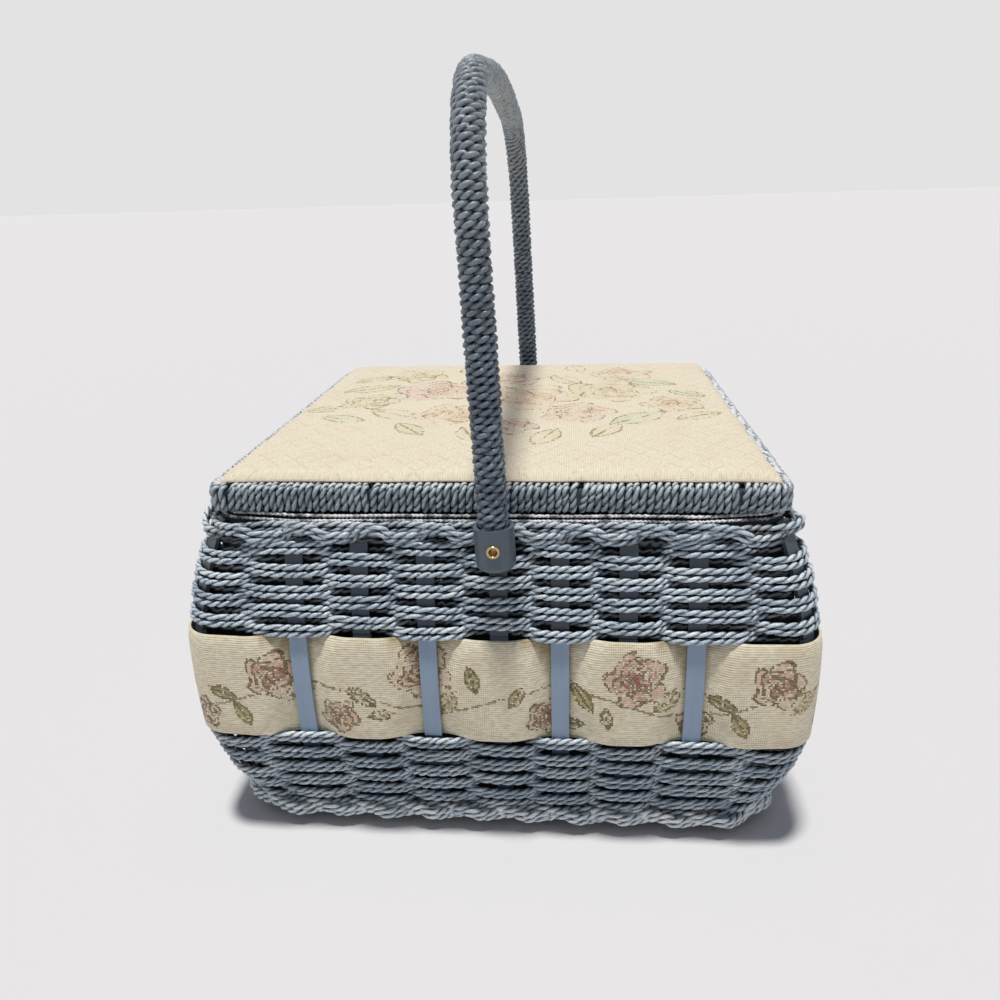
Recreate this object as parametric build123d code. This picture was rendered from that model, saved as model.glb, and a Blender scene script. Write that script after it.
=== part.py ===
from build123d import *
import math
import os

# A square woven sewing basket with a padded lid, a swinging bail handle and a sliding tray.
# Millimetres, +Z up, the origin at the middle of the footprint on the table. The lid is hinged on
# the -X side and opens at +X. The handle turns on the front (-Y) and back (+Y) walls.

# Woven body. Half widths and corner radii are those of the middle of the stakes.
BELLY_HALF = 131.6          # half width at the widest height
BOW_R = 200.0               # radius of the wall's bow, seen from the side
CORNER_R = 13.5             # plan corner radius from the tapestry band up
FOOT_CORNER_R = 30.0        # plan corner radius at the very bottom
STAKE_W = 7.4
STAKE_T = 1.8
STAKES_PER_SIDE = 7
STAKE_END = 49.4            # of the last stake of a wall inside the widest height
CORD_D = 2.75               # twisted paper cord
FIT = 0.1                   # gap between pieces that are woven or glued together
BRAID_EASE = 0.9            # depth of the braids' notches over the stakes

# Heights of the body, from the table up
FOOT_H = 5.0
BASE_BRAID_DROP = 1.0       # how far the bottom braid hangs below the base board
BASE_BRAID_H = 7.0
LOWER_ROWS = 10
LOWER_PITCH = 4.5
BAND_H = 47.6
BAND_GAP = 0.3              # above and below the tapestry band
UPPER_ROWS = 9
UPPER_PITCH = 4.3
TOP_BRAID_H = 8.1
RIM_STANDS = 0.3            # how far the rim frame stands above the top braid

# Base, feet and lining
BASE_T = 4.0
FOOT_R = 8.0
FOOT_INSET = 13.5           # of a foot's centre from the base board's side
BRAID_T = 2.65
BAND_T = 1.0
BAND_CREST = 0.8            # how far the band bulges off the stakes that it covers
BAND_FLAT = 4.5             # half width of the flat behind a stake that covers the band
LINING_T = 1.0
LINING_GAP = 1.6            # between the weave's mean inner face and the lining
FLOOR_PAD_T = 2.0
LINING_LEVELS = 6           # facets of the lining up its height

# Rim frame and the two thin cords on it
RIM_H = 9.3
RIM_W = 5.7
RIM_CORD_D = 1.1
RIM_CORD_INSET = 0.2        # of the upper thin cord inside the lower one's outer face

# Lid
LID_GAP = 2.3               # between the rim frame and the closed lid
LID_INSET = -1.1            # of the lid's outer face inside the stakes' middle at the rim
LID_EDGE_H = 12.2
LID_CORNER_R = 9.0
HOOP_W = 6.0                # plastic hoop inside the cord edge
LID_BOARD_T = 3.0
LID_BOARD_LIFT = 6.4        # of the board above the lid's underside
LID_CROWN = 3.6             # of the cover above the cord edge
LID_COVER_T = 0.9
LID_OVERLAP = 4.4           # of the padded top over the wound edge
LID_PAD_ROUND = 2.2         # edge rounding of the padded top
LID_LINING_T = 2.2
LID_OPEN = 100.0            # degrees

# Lid hinges
HINGE_Y = 68.0
HINGE_W = 20.0
HINGE_MIDDLE_W = 8.0        # the lid leaf's knuckle
KNUCKLE_R = 2.0
HINGE_PIN_R = 1.0
LEAF_T = 0.9
LEAF_REACH = 14.0
HINGE_CLEAR = 0.3
RUN_CLEAR = 0.05            # radial clearance of every turning pin
SCREW_R = 1.2
SCREW_LEN = 5.0
SCREW_SPREAD = 6.0
SCREW_BACK = 4.0            # of a screw from the leaf's inner end

# Handle
PIVOT_X = 2.5
PIVOT_DROP = 3.3            # of the pivot below the top of the rim frame
PIVOT_R = 1.6
PIVOT_BORE_R = 0.8
PIVOT_HEAD_R = 2.6
PIVOT_HEAD_T = 0.8
PIVOT_WASHER_R = 4.2
PIVOT_WASHER_T = 0.8
SPACER_R = 4.0
CUP_STANDOFF = 5.3          # of the cup's flat off the wall's outer face
CUP_WALL = 1.5
CUP_FLAT_WALL = 0.6         # of the cup's flat inner side, towards the basket
CUP_BELOW = 9.6
CUP_ABOVE = 8.0
CUP_MOUTH = 4.6             # depth of the mouth that holds the wrapped end
HANDLE_CORE_R = 4.0
HANDLE_WRAP_T = 2.4         # flattened cord round the core
HANDLE_RISE = 164.0         # from the pivot to the corners of the arch
HANDLE_CROWN = 13.7         # further rise to the middle
HANDLE_CORNER_R = 50.0
HANDLE_TOP_R = 500.0
HANDLE_LEAN = 2.05          # degrees towards -X at rest

# Sliding tray
TRAY_LEN = 104.0
TRAY_DEPTH = 30.0
TRAY_WALL = 1.6
TRAY_CORNER_R = 8.0
TRAY_FLANGE_T = 1.5
TRAY_FLANGE_W = 5.6
TRAY_CLEAR = 1.3            # to the rim frame all round
TRAY_LIP_CLEAR = 0.3        # over and beside the rails
TRAY_ROWS = 3               # wells along Y
DIVIDER_T = 1.2
DIVIDER_DROP = 3.0          # of the dividers' top below the tray's top
RAIL_T = 2.0
RAIL_W = 11.2

SIDES = {"front": 180, "right": 270, "back": 0, "left": 90}    # turn of a back (+Y) wall piece

# Heights worked out from the above
base_z = FOOT_H
base_top = base_z + BASE_T
base_braid_z = base_z - BASE_BRAID_DROP
lower_z = base_braid_z + BASE_BRAID_H
lower_top = lower_z + LOWER_ROWS * LOWER_PITCH
band_z = lower_top + BAND_GAP
band_top = band_z + BAND_H
upper_z = band_top + BAND_GAP
upper_top = upper_z + UPPER_ROWS * UPPER_PITCH
braid_top = upper_top + TOP_BRAID_H
rim_top = braid_top + RIM_STANDS
rim_z = rim_top - RIM_H
lid_z = rim_top + LID_GAP
lid_top = lid_z + LID_EDGE_H
belly_z = band_z + BAND_H / 2
pivot_z = rim_top - PIVOT_DROP
wall_half_t = STAKE_T / 2 + CORD_D      # from the middle of the stakes to either face
stake_pitch = 2 * (BELLY_HALF - STAKE_END) / (STAKES_PER_SIDE - 1)


def mid_half(z):
    """Half width of the basket at the middle of the stakes."""
    return BELLY_HALF - BOW_R + math.sqrt(BOW_R**2 - (z - belly_z) ** 2)


def mid_corner(z):
    """Plan corner radius at the middle of the stakes: it opens out below the band."""
    if z >= band_z:
        return CORNER_R
    return CORNER_R + (FOOT_CORNER_R - CORNER_R) * ((band_z - z) / band_z) ** 2


hinge_z = rim_top + LID_GAP / 2
lid_half = mid_half(rim_top) - LID_INSET
hinge_x = -(lid_half + HINGE_CLEAR * 2 + KNUCKLE_R)
rim_half = mid_half(rim_top) - STAKE_T / 2 - FIT
rim_inner = rim_half - RIM_W
stake_top = hinge_z - KNUCKLE_R - HINGE_CLEAR
handle_r = HANDLE_CORE_R + HANDLE_WRAP_T
cup_r = handle_r + CUP_WALL
cup_flat = handle_r + CUP_FLAT_WALL
leg_y = mid_half(pivot_z) + wall_half_t + CUP_STANDOFF + cup_flat


def plate(half, radius, z):
    """Rounded square face at a height."""
    return Pos(0, 0, z) * RectangleRounded(2 * half, 2 * half, radius)


def slab(half, radius, z0, z1):
    return extrude(plate(half, radius, z0), z1 - z0)


def ring(outer, outer_r, inner, inner_r, z0, z1):
    return slab(outer, outer_r, z0, z1) - slab(inner, inner_r, z0, z1)


def row_ring(z0, z1, inner, outer):
    """One row of cord round the basket, between two offsets from the middle of the stakes."""
    z = (z0 + z1) / 2
    half = mid_half(z)
    radius = mid_corner(z)
    return ring(half + outer, radius + outer, half + inner, radius + inner, z0, z1)


def stacked_rows(z0, rows, pitch, inner, outer):
    """Rows of cord one above the other, each at the wall's width there, as one wall."""
    wall = row_ring(z0, z0 + pitch, inner, outer)
    for row in range(1, rows):
        wall += row_ring(z0 + row * pitch, z0 + (row + 1) * pitch, inner, outer)
    return wall


def straight_stake(z0, z1, half_w, half_t):
    """A flat stake bent to the wall's bow, in the middle of the back wall."""
    bent = Circle(BOW_R + half_t) - Circle(BOW_R - half_t)
    reach = 2 * BOW_R
    keep = Pos(reach / 2, (z0 + z1) / 2 - belly_z) * Rectangle(reach, z1 - z0)
    arc = Pos(BELLY_HALF - BOW_R, belly_z) * (bent & keep)
    strip = extrude(Plane.YZ * arc, half_w, both=True)
    return strip


def stake_places():
    """Stake centres along a wall. On front and back the middle one carries the handle's pivot."""
    middle = (STAKES_PER_SIDE - 1) / 2
    return [(i - middle) * stake_pitch for i in range(STAKES_PER_SIDE)]


def wall_stakes(side, half_w=STAKE_W / 2, half_t=STAKE_T / 2):
    """The stakes of one wall."""
    strips = []
    for place in stake_places():
        x = place
        if place == 0 and side == "back":
            x = PIVOT_X
        if place == 0 and side == "front":
            x = -PIVOT_X
        strip = Pos(x, 0, 0) * straight_stake(base_z, stake_top, half_w, half_t)
        strips.append(Rot(0, 0, SIDES[side]) * strip)
    return strips


def corner_reach(z):
    """Distance of a corner post's middle from the basket's axis."""
    radius = mid_corner(z)
    return (mid_half(z) - radius) * math.sqrt(2) + radius


def corner_posts(half_w=STAKE_W / 2, half_t=STAKE_T / 2):
    """Four posts like the stakes, one across each corner."""
    levels = [base_z + (stake_top - base_z) * i / 8 for i in range(9)]
    outer = Spline(*[(corner_reach(z) + half_t, z) for z in levels])
    inner = Spline(*[(corner_reach(z) - half_t, z) for z in levels])
    edges = [outer, inner, Line(outer @ 0, inner @ 0), Line(outer @ 1, inner @ 1)]
    section = Plane.XZ * make_face(Curve() + edges)
    post = extrude(section, half_w, both=True)
    return [Rot(0, 0, 45 + 90 * i) * post for i in range(4)]


def all_stakes(half_w=STAKE_W / 2, half_t=STAKE_T / 2):
    strips = corner_posts(half_w, half_t)
    for side in SIDES:
        strips += wall_stakes(side, half_w, half_t)
    return strips


def less_stakes(wall):
    """A wall of cord with a slot for every stake."""
    return wall - all_stakes(STAKE_W / 2 + FIT, STAKE_T / 2 + FIT)


def on_both_sides(piece):
    """A piece of the back wall's pivot, and its copy on the front wall."""
    return [piece, mirror(piece, Plane.XZ)]


def y_rod(radius, y0, y1, x=PIVOT_X, z=pivot_z):
    """A cylinder along +Y from y0 to y1."""
    return Pos(x, (y0 + y1) / 2, z) * Rot(90, 0, 0) * Cylinder(radius, y1 - y0)


def pivot_holes(radius):
    """The way of both pivots through the walls."""
    return on_both_sides(y_rod(radius, rim_inner / 2, leg_y))


def tapestry_loop(shift):
    """The band's course round the basket, woven behind every other stake, moved out by shift."""
    back = mid_half(band_z) - STAKE_T / 2 - FIT - BAND_T / 2 + shift
    crest = BELLY_HALF + STAKE_T / 2 + BAND_T / 2 + BAND_CREST + shift
    radius = CORNER_R + STAKE_T / 2 + FIT + BAND_T / 2 + shift
    corner = crest - radius
    points = [(-corner, crest)]
    for i, x in enumerate(stake_places()):
        if i % 2 == 0:
            points += [(x - BAND_FLAT, back), (x + BAND_FLAT, back)]
        else:
            points += [(x, crest)]
    points += [(corner, crest)]
    wall = Spline(*points, tangents=[(1, 0), (1, 0)])
    turn = RadiusArc((corner, crest), (crest, corner), radius)
    loop = Curve() + [Rot(0, 0, -90 * i) * edge for i in range(4) for edge in (wall, turn)]
    return Pos(0, 0, band_z) * make_face(loop)


def tapestry_band():
    up = (0, 0, 1)
    outer = extrude(tapestry_loop(BAND_T / 2), BAND_H, dir=up)
    inner = extrude(tapestry_loop(-BAND_T / 2), BAND_H, dir=up)
    return outer - inner


def lined_space(offset):
    """Solid that fills the basket, from the floor pad to the rim frame, up to the lining."""
    z0 = base_top + FLOOR_PAD_T
    z1 = rim_z - FIT
    inset = wall_half_t + LINING_GAP + offset
    faces = []
    for i in range(LINING_LEVELS + 1):
        z = z0 + (z1 - z0) * i / LINING_LEVELS
        faces.append(plate(mid_half(z) - inset, mid_corner(z) - inset, z))
    return loft(faces, ruled=True)


def feet():
    place = mid_half(base_z) - STAKE_T / 2 - FIT - FOOT_INSET
    spots = [(x, y) for x in (-place, place) for y in (-place, place)]
    return [Pos(x, y, FOOT_H / 2) * Cylinder(FOOT_R, FOOT_H) for x, y in spots]


def base_board():
    inset = STAKE_T / 2 + FIT
    return slab(mid_half(base_z) - inset, mid_corner(base_z) - inset, base_z, base_top)


def floor_pad():
    inset = wall_half_t + LINING_GAP
    half = mid_half(base_top) - inset
    return slab(half, mid_corner(base_top) - inset, base_top, base_top + FLOOR_PAD_T)


def lining():
    return lined_space(0) - lined_space(LINING_T)


def rim_frame():
    corner = CORNER_R - STAKE_T / 2 - FIT
    frame = ring(rim_half, corner, rim_inner, corner - RIM_W, rim_z, rim_top)
    frame -= pivot_holes(PIVOT_R)
    return frame - screw_set(lid=False)


def hinge_box(x0, x1, z0, z1, width=HINGE_W):
    """Box round each hinge's place, for plates and notches."""
    block = Box(x1 - x0, width, z1 - z0)
    middle = Pos((x0 + x1) / 2, 0, (z0 + z1) / 2)
    return [Pos(0, y, 0) * middle * block for y in (-HINGE_Y, HINGE_Y)]


def hinge_notches():
    """Room for the hinges in the braid and cords of the hinge side."""
    reach = KNUCKLE_R + HINGE_CLEAR
    width = HINGE_W + 2 * HINGE_CLEAR
    return hinge_box(hinge_x - 2 * reach, hinge_x + LEAF_REACH, hinge_z - reach, lid_z, width)


def rim_cords():
    """Two thin cords that lie on the rim, one over the other and a little further in."""
    cords = []
    for i in range(2):
        outer = rim_half + STAKE_T + FIT - i * RIM_CORD_INSET
        corner = CORNER_R - i * RIM_CORD_INSET
        z = rim_top + i * RIM_CORD_D
        cord = ring(outer, corner, outer - RIM_CORD_D, corner - RIM_CORD_D, z, z + RIM_CORD_D - FIT)
        cords.append(cord - hinge_notches())
    return cords


def braid_rows(z, height):
    """A plaited border outside the stakes, two strands high, notched where it lies on them."""
    inner = STAKE_T / 2 + FIT
    rows = stacked_rows(z, 2, height / 2, inner, inner + BRAID_T)
    return rows - all_stakes(STAKE_W / 2 + FIT, STAKE_T / 2 + BRAID_EASE)


def top_braid():
    wall = braid_rows(upper_top, TOP_BRAID_H) - pivot_holes(PIVOT_R)
    return wall - hinge_notches()


def base_braid():
    return braid_rows(base_braid_z, BASE_BRAID_H)


def pierced_stakes(side):
    """The stakes of one wall, with the pivot's hole where the wall has one."""
    return [strip - pivot_holes(PIVOT_R) for strip in wall_stakes(side)]


def rails():
    """Two ledges along X under the rim frame and against the lining, which carry the tray."""
    length = 2 * (rim_inner - TRAY_CLEAR)
    block = Pos(0, rim_inner, rim_z - FIT - RAIL_T / 2) * Box(length, RAIL_W, RAIL_T)
    return on_both_sides(block & lined_space(LINING_T))


def tray_parts():
    """The tray with its flange, and its dividers, at the -X end of the rails."""
    top = rim_z + TRAY_LIP_CLEAR + TRAY_FLANGE_T
    half_y = rim_inner - TRAY_CLEAR - TRAY_FLANGE_W
    x0 = -(rim_inner - TRAY_CLEAR)
    middle = Pos(x0 + TRAY_LEN / 2, 0, 0)
    z0 = top - TRAY_DEPTH
    inner_x = TRAY_LEN - 2 * TRAY_WALL
    inner_y = 2 * (half_y - TRAY_WALL)
    outer = extrude(Pos(0, 0, z0) * RectangleRounded(TRAY_LEN, 2 * half_y, TRAY_CORNER_R), TRAY_DEPTH)
    well_r = TRAY_CORNER_R - TRAY_WALL
    well = extrude(Pos(0, 0, z0 + TRAY_WALL) * RectangleRounded(inner_x, inner_y, well_r), TRAY_DEPTH)
    flange = extrude(
        Pos(0, 0, top - TRAY_FLANGE_T)
        * RectangleRounded(TRAY_LEN, 2 * (half_y + TRAY_FLANGE_W), TRAY_CORNER_R),
        TRAY_FLANGE_T,
    )
    shell = middle * (outer + flange - well)
    height = TRAY_DEPTH - TRAY_WALL - DIVIDER_DROP
    across = Box(inner_x - 2 * FIT, DIVIDER_T, height)
    pitch = (inner_y - (TRAY_ROWS - 1) * DIVIDER_T) / TRAY_ROWS + DIVIDER_T
    z = z0 + TRAY_WALL + height / 2
    first = -(TRAY_ROWS - 2) / 2
    dividers = [middle * Pos(0, (first + i) * pitch, z) * across for i in range(TRAY_ROWS - 1)]
    return shell, dividers


def leaf(lid):
    """One hinge's leaf, at Y = 0: a plate with tabs to its own knuckles, which are bored."""
    z0 = lid_z - LEAF_T if lid else rim_top
    x0 = hinge_x + KNUCKLE_R + HINGE_CLEAR
    x1 = hinge_x + LEAF_REACH
    leaf_plate = Pos((x0 + x1) / 2, 0, z0 + LEAF_T / 2) * Box(x1 - x0, HINGE_W, LEAF_T)
    side_w = (HINGE_W - HINGE_MIDDLE_W) / 2 - HINGE_CLEAR
    places = [(0, HINGE_MIDDLE_W)]
    if not lid:
        offset = (HINGE_W - side_w) / 2
        places = [(-offset, side_w), (offset, side_w)]
    bore = HINGE_PIN_R + RUN_CLEAR if lid else HINGE_PIN_R
    for y, width in places:
        tab = Pos((hinge_x + x0) / 2, y, z0 + LEAF_T / 2) * Box(x0 - hinge_x, width, LEAF_T)
        leaf_plate += tab
        leaf_plate += Pos(hinge_x, y, hinge_z) * Rot(90, 0, 0) * Cylinder(KNUCKLE_R, width)
    return leaf_plate - Pos(hinge_x, 0, hinge_z) * Rot(90, 0, 0) * Cylinder(bore, HINGE_W)


def screw_set(lid):
    """Two flush screws through each leaf, up into the lid's hoop or down into the rim frame."""
    z0 = lid_z - LEAF_T if lid else rim_top + LEAF_T - SCREW_LEN
    x = hinge_x + LEAF_REACH - SCREW_BACK
    screw = Pos(x, 0, z0 + SCREW_LEN / 2) * Cylinder(SCREW_R, SCREW_LEN)
    spots = [hinge + side for hinge in (-HINGE_Y, HINGE_Y) for side in (-SCREW_SPREAD, SCREW_SPREAD)]
    return [Pos(0, y, 0) * screw for y in spots]


def hinge_leaves(lid):
    return [Pos(0, y, 0) * leaf(lid) - screw_set(lid) for y in (-HINGE_Y, HINGE_Y)]


def hinge_pins():
    pin = Pos(hinge_x, 0, hinge_z) * Rot(90, 0, 0) * Cylinder(HINGE_PIN_R, HINGE_W)
    return [Pos(0, y, 0) * pin for y in (-HINGE_Y, HINGE_Y)]


def lid_hoop():
    outer = lid_half - CORD_D
    radius = LID_CORNER_R - CORD_D
    hoop = ring(outer, radius, outer - HOOP_W, radius - HOOP_W / 2, lid_z + CORD_D, lid_top - CORD_D)
    return hoop - screw_set(lid=True)


def lid_cord_edge():
    """Cord wound over the hoop: over its top, its outer face and its underside."""
    inner = lid_half - CORD_D - HOOP_W
    inner_r = LID_CORNER_R - CORD_D - HOOP_W / 2
    edge = ring(lid_half, LID_CORNER_R, inner, inner_r, lid_z, lid_top)
    return edge - lid_hoop() - screw_set(lid=True)


def lid_panel_half():
    return lid_half - CORD_D - HOOP_W - FIT


def padded_top(skin):
    """The pad from the board's underside up, which widens over the wound edge, less a skin all round."""
    half = lid_panel_half() - skin
    radius = LID_CORNER_R - CORD_D - HOOP_W / 2 - FIT - skin
    top = lid_top + LID_CROWN - skin
    wide = slab(half + LID_OVERLAP, radius + LID_OVERLAP / 2, lid_top + FIT + skin, top)
    wide = fillet(wide.faces().sort_by(Axis.Z)[-1].edges(), LID_PAD_ROUND - skin)
    return wide + slab(half, radius, lid_z + LID_BOARD_LIFT, top - LID_PAD_ROUND)


def lid_cover():
    """Tapestry over the pad, round its edge and down the sides of the board."""
    return padded_top(0) - padded_top(LID_COVER_T)


def lid_board():
    half = lid_panel_half() - LID_COVER_T
    radius = LID_CORNER_R - CORD_D - HOOP_W / 2 - FIT - LID_COVER_T
    z = lid_z + LID_BOARD_LIFT
    return slab(half, radius, z, z + LID_BOARD_T)


def lid_foam():
    return padded_top(LID_COVER_T) - lid_board()


def lid_lining():
    half = lid_panel_half() - LID_COVER_T
    radius = LID_CORNER_R - CORD_D - HOOP_W / 2 - FIT - LID_COVER_T
    z = lid_z + LID_BOARD_LIFT
    return slab(half, radius, z - LID_LINING_T, z)


def pivot_pin():
    """The back wall's tubular rivet, flared inside the rim and over the cup outside."""
    inside = rim_inner - PIVOT_WASHER_T
    outside = leg_y + cup_r
    pin = y_rod(PIVOT_R, inside, outside)
    pin += y_rod(PIVOT_HEAD_R, inside - PIVOT_HEAD_T, inside)
    pin += y_rod(PIVOT_HEAD_R, outside, outside + PIVOT_HEAD_T)
    return pin - y_rod(PIVOT_BORE_R, outside - cup_r, outside + PIVOT_HEAD_T)


def pivot_washer():
    return y_rod(PIVOT_WASHER_R, rim_inner - PIVOT_WASHER_T, rim_inner) - y_rod(PIVOT_R, 0, leg_y)


def pivot_spacer():
    """Sleeve on the pin between the wall and the cup."""
    wall = mid_half(upper_top) + STAKE_T / 2 + FIT + BRAID_T
    cup = leg_y - cup_flat - HINGE_CLEAR
    return y_rod(SPACER_R, wall, cup) - y_rod(PIVOT_R, 0, leg_y)


def leaned(piece):
    """A handle piece turned about the pivots to the handle's resting lean."""
    return Pos(PIVOT_X, 0, pivot_z) * Rot(0, -HANDLE_LEAN, 0) * Pos(-PIVOT_X, 0, -pivot_z) * piece


def handle_path(z0):
    corner_z = pivot_z + HANDLE_RISE
    points = [(-leg_y, z0), (-leg_y, corner_z), (0, corner_z + HANDLE_CROWN), (leg_y, corner_z), (leg_y, z0)]
    in_space = [(PIVOT_X, y, z) for y, z in points]
    return FilletPolyline(*in_space, radius=[HANDLE_CORNER_R, HANDLE_TOP_R, HANDLE_CORNER_R])


def handle_rod(radius, z0):
    path = handle_path(z0)
    start = Plane(origin=path @ 0, z_dir=path % 0)
    return sweep(start * Circle(radius), path=path)


def cup_top():
    return pivot_z + CUP_ABOVE


def handle_core():
    return leaned(handle_rod(HANDLE_CORE_R, cup_top() - CUP_MOUTH))


def handle_wrap():
    z0 = cup_top() - CUP_MOUTH
    return leaned(handle_rod(handle_r, z0) - handle_rod(HANDLE_CORE_R, z0))


def handle_cup():
    """The back cup: a round-bottomed sleeve, flat towards the wall, bored for the pin."""
    height = CUP_BELOW + CUP_ABOVE
    cup = Pos(PIVOT_X, leg_y, cup_top() - height / 2) * Cylinder(cup_r, height)
    cup = fillet(cup.edges().group_by(Axis.Z)[0], cup_r / 3)
    keep = Pos(PIVOT_X, leg_y - cup_flat + cup_r, cup_top() - height / 2) * Box(2 * cup_r, 2 * cup_r, height)
    cup = cup & keep
    mouth = Pos(PIVOT_X, leg_y, cup_top() - CUP_MOUTH / 2) * Cylinder(handle_r, CUP_MOUTH)
    cup -= mouth
    cup -= y_rod(PIVOT_R + RUN_CLEAR, leg_y - cup_r, leg_y + cup_r)
    return leaned(cup)


def save(name, piece):
    if isinstance(piece, (list, tuple)):
        piece = Compound([solid for item in piece for solid in item.solids()])
    export_step(piece, f"parts/{name}.step")


def main():
    os.makedirs("parts", exist_ok=True)
    save("feet", feet())
    save("base_board", base_board())
    save("floor_pad", floor_pad())
    for side in SIDES:
        save(f"stakes_{side}", pierced_stakes(side))
    save("corner_posts", corner_posts())
    save("base_braid", base_braid())
    rows = stacked_rows(lower_z, LOWER_ROWS, LOWER_PITCH, -wall_half_t, wall_half_t)
    save("lower_weave", less_stakes(rows))
    save("tapestry_band", tapestry_band())
    rows = stacked_rows(upper_z, UPPER_ROWS, UPPER_PITCH, -wall_half_t, wall_half_t)
    save("upper_weave", less_stakes(rows))
    save("top_braid", top_braid())
    save("rim_frame", rim_frame())
    save("rim_cords", rim_cords())
    save("lining", lining())
    for name, rail in zip(("back", "front"), rails()):
        save(f"tray_rail_{name}", rail)
    tray, dividers = tray_parts()
    save("tray", tray)
    save("tray_dividers", dividers)
    save("hinge_leaves_basket", hinge_leaves(lid=False))
    save("hinge_leaves_lid", hinge_leaves(lid=True))
    save("hinge_screws_basket", screw_set(lid=False))
    save("hinge_screws_lid", screw_set(lid=True))
    save("hinge_pins", hinge_pins())
    save("lid_hoop", lid_hoop())
    save("lid_cord_edge", lid_cord_edge())
    save("lid_board", lid_board())
    save("lid_foam", lid_foam())
    save("lid_cover", lid_cover())
    save("lid_lining", lid_lining())
    for name, pin in zip(("back", "front"), on_both_sides(pivot_pin())):
        save(f"pivot_pin_{name}", pin)
    save("pivot_washers", on_both_sides(pivot_washer()))
    save("pivot_spacers", on_both_sides(pivot_spacer()))
    save("handle_core", handle_core())
    save("handle_wrap", handle_wrap())
    for name, cup in zip(("back", "front"), on_both_sides(handle_cup())):
        save(f"handle_cup_{name}", cup)


main()
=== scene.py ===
"""Looks of the woven sewing basket: cords, tapestry, linings and finishes over its solids.

Sizes are in millimetres and turned to metres where a mesh is made.
"""

import math

import bmesh
import bpy
import numpy as np
from mathutils import Matrix, Vector

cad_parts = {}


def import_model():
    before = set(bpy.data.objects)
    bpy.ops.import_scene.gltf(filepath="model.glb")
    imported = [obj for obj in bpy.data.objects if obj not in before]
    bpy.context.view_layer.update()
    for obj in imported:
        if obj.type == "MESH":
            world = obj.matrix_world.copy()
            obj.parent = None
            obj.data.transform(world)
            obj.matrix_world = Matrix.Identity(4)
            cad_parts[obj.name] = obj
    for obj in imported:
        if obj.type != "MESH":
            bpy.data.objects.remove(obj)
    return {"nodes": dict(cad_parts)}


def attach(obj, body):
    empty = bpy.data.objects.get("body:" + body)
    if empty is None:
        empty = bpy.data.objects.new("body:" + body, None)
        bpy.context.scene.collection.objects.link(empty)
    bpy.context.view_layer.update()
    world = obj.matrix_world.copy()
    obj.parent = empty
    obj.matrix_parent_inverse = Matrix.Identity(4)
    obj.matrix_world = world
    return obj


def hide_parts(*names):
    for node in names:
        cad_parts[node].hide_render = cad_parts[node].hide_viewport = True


MM = 0.001
rng = np.random.default_rng(11)

# Camera, in millimetres and degrees
CAMERA_PLACE = (32.421, -426.385, 274.140)
CAMERA_YAW, CAMERA_PITCH, CAMERA_ROLL = -5.382, 20.288, -1.737
LENS = 29.685

# Light
LAMP_WAY, LAMP_STRENGTH, LAMP_ANGLE = (0.035, 0.13, -1), 2.76, 7
LAMP_COLOUR = (1.0, 0.992, 0.978)
ROOM_LIGHT = 0.23           # of the room on the basket, where 1 is how it is seen itself

# The basket's wall: a bow in height, a rounded square in plan
BELLY_HALF = 131.6
BOW_R = 200.0
BELLY_Z = 80.1
CORNER_R = 13.5
FOOT_CORNER_R = 30.0
STAKE_T = 1.8
STAKES = 7
STAKE_END = 49.4
STAKE_PITCH = 2 * (BELLY_HALF - STAKE_END) / (STAKES - 1)
PIVOT_X = 2.5

# Twisted cord
CORD_D = 2.75               # as it is laid in the solids
CORD_FULL = 2.75            # over the tops of its two strands
CORD_LAY = 9.6              # one full turn of its two strands
CORD_UNEVEN = 0.9           # how far its twist runs ahead or behind, in radians
CORD_STEP = 1.0             # between the points of its surface
GROOVE = 0.52               # how deep the line between the strands is, as a share of the radius

# Woven rows of paired cord
BAND_Z = 56.3
BAND_H = 47.6
LOWER_TOP, LOWER_ROWS, LOWER_PITCH = 56.0, 10, 4.5
UPPER_Z, UPPER_ROWS, UPPER_PITCH = 104.2, 9, 4.3
PAIR_AT_CROSSING = 1.1      # half distance of a pair's cords between the stakes
PAIR_AT_STAKE = 1.5
WEAVE_FRONT = 1.3           # of the front cords, out from the middle of the stakes; behind them the cord is painted dark as shade
PAINTED_SHADE_DEPTH = 2.6            # behind them, over which that painted shade grows to full

# Plaited borders
TOP_PLAIT_Z, BASE_PLAIT_Z = 147.0, 9.4
TOP_PLAIT_H, BASE_PLAIT_H = 10.6, 8.2
TOP_PLAIT_PERIOD, BASE_PLAIT_PERIOD = 84.0, 66.0
TOP_PLAIT_OUT, BASE_PLAIT_OUT = 3.0, 4.8    # of its middle from the middle of the stakes
PLAIT_PAIR = 1.3            # half distance of its doubled cords
PLAIT_DEPTH = 1.3           # of its crossings before, and its edges behind, its middle
PLAIT_LIFT = 1.4            # of the falling crossings over the rising ones
PLAIT_CORD = 2.8
FOOT_PLAIT_CORD = 3.1
PLAIT_SNAP = 5.5            # how suddenly a strand crosses from edge to edge
TOP_PLAIT_FRONT, BASE_PLAIT_FRONT = 4.4, 3.9    # of its front cords, out from the stakes; behind them the cord is painted dark as shade
PLAIT_CORNER = 30.0         # from a corner, where the top plait draws in
PLAIT_CORNER_IN, PLAIT_CORNER_DOWN = 1.3, 0.7

# Rim
RIM_TOP = 151.3
RIM_CORD_FULL = 1.5
RIM_CORD_LAY = 3.8
RIM_CORD_STEP, RIM_CORD_GROOVE = 0.55, 0.6
RIM_CORD_FRONT = -9.0       # so far in that none of it gets the painted shade
RIM_CORD_RISE = 1.9         # from the lower cord to the upper

# Hinges on the -X side
HINGE_Y = 68.0
HINGE_HALF = 10.6

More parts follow.
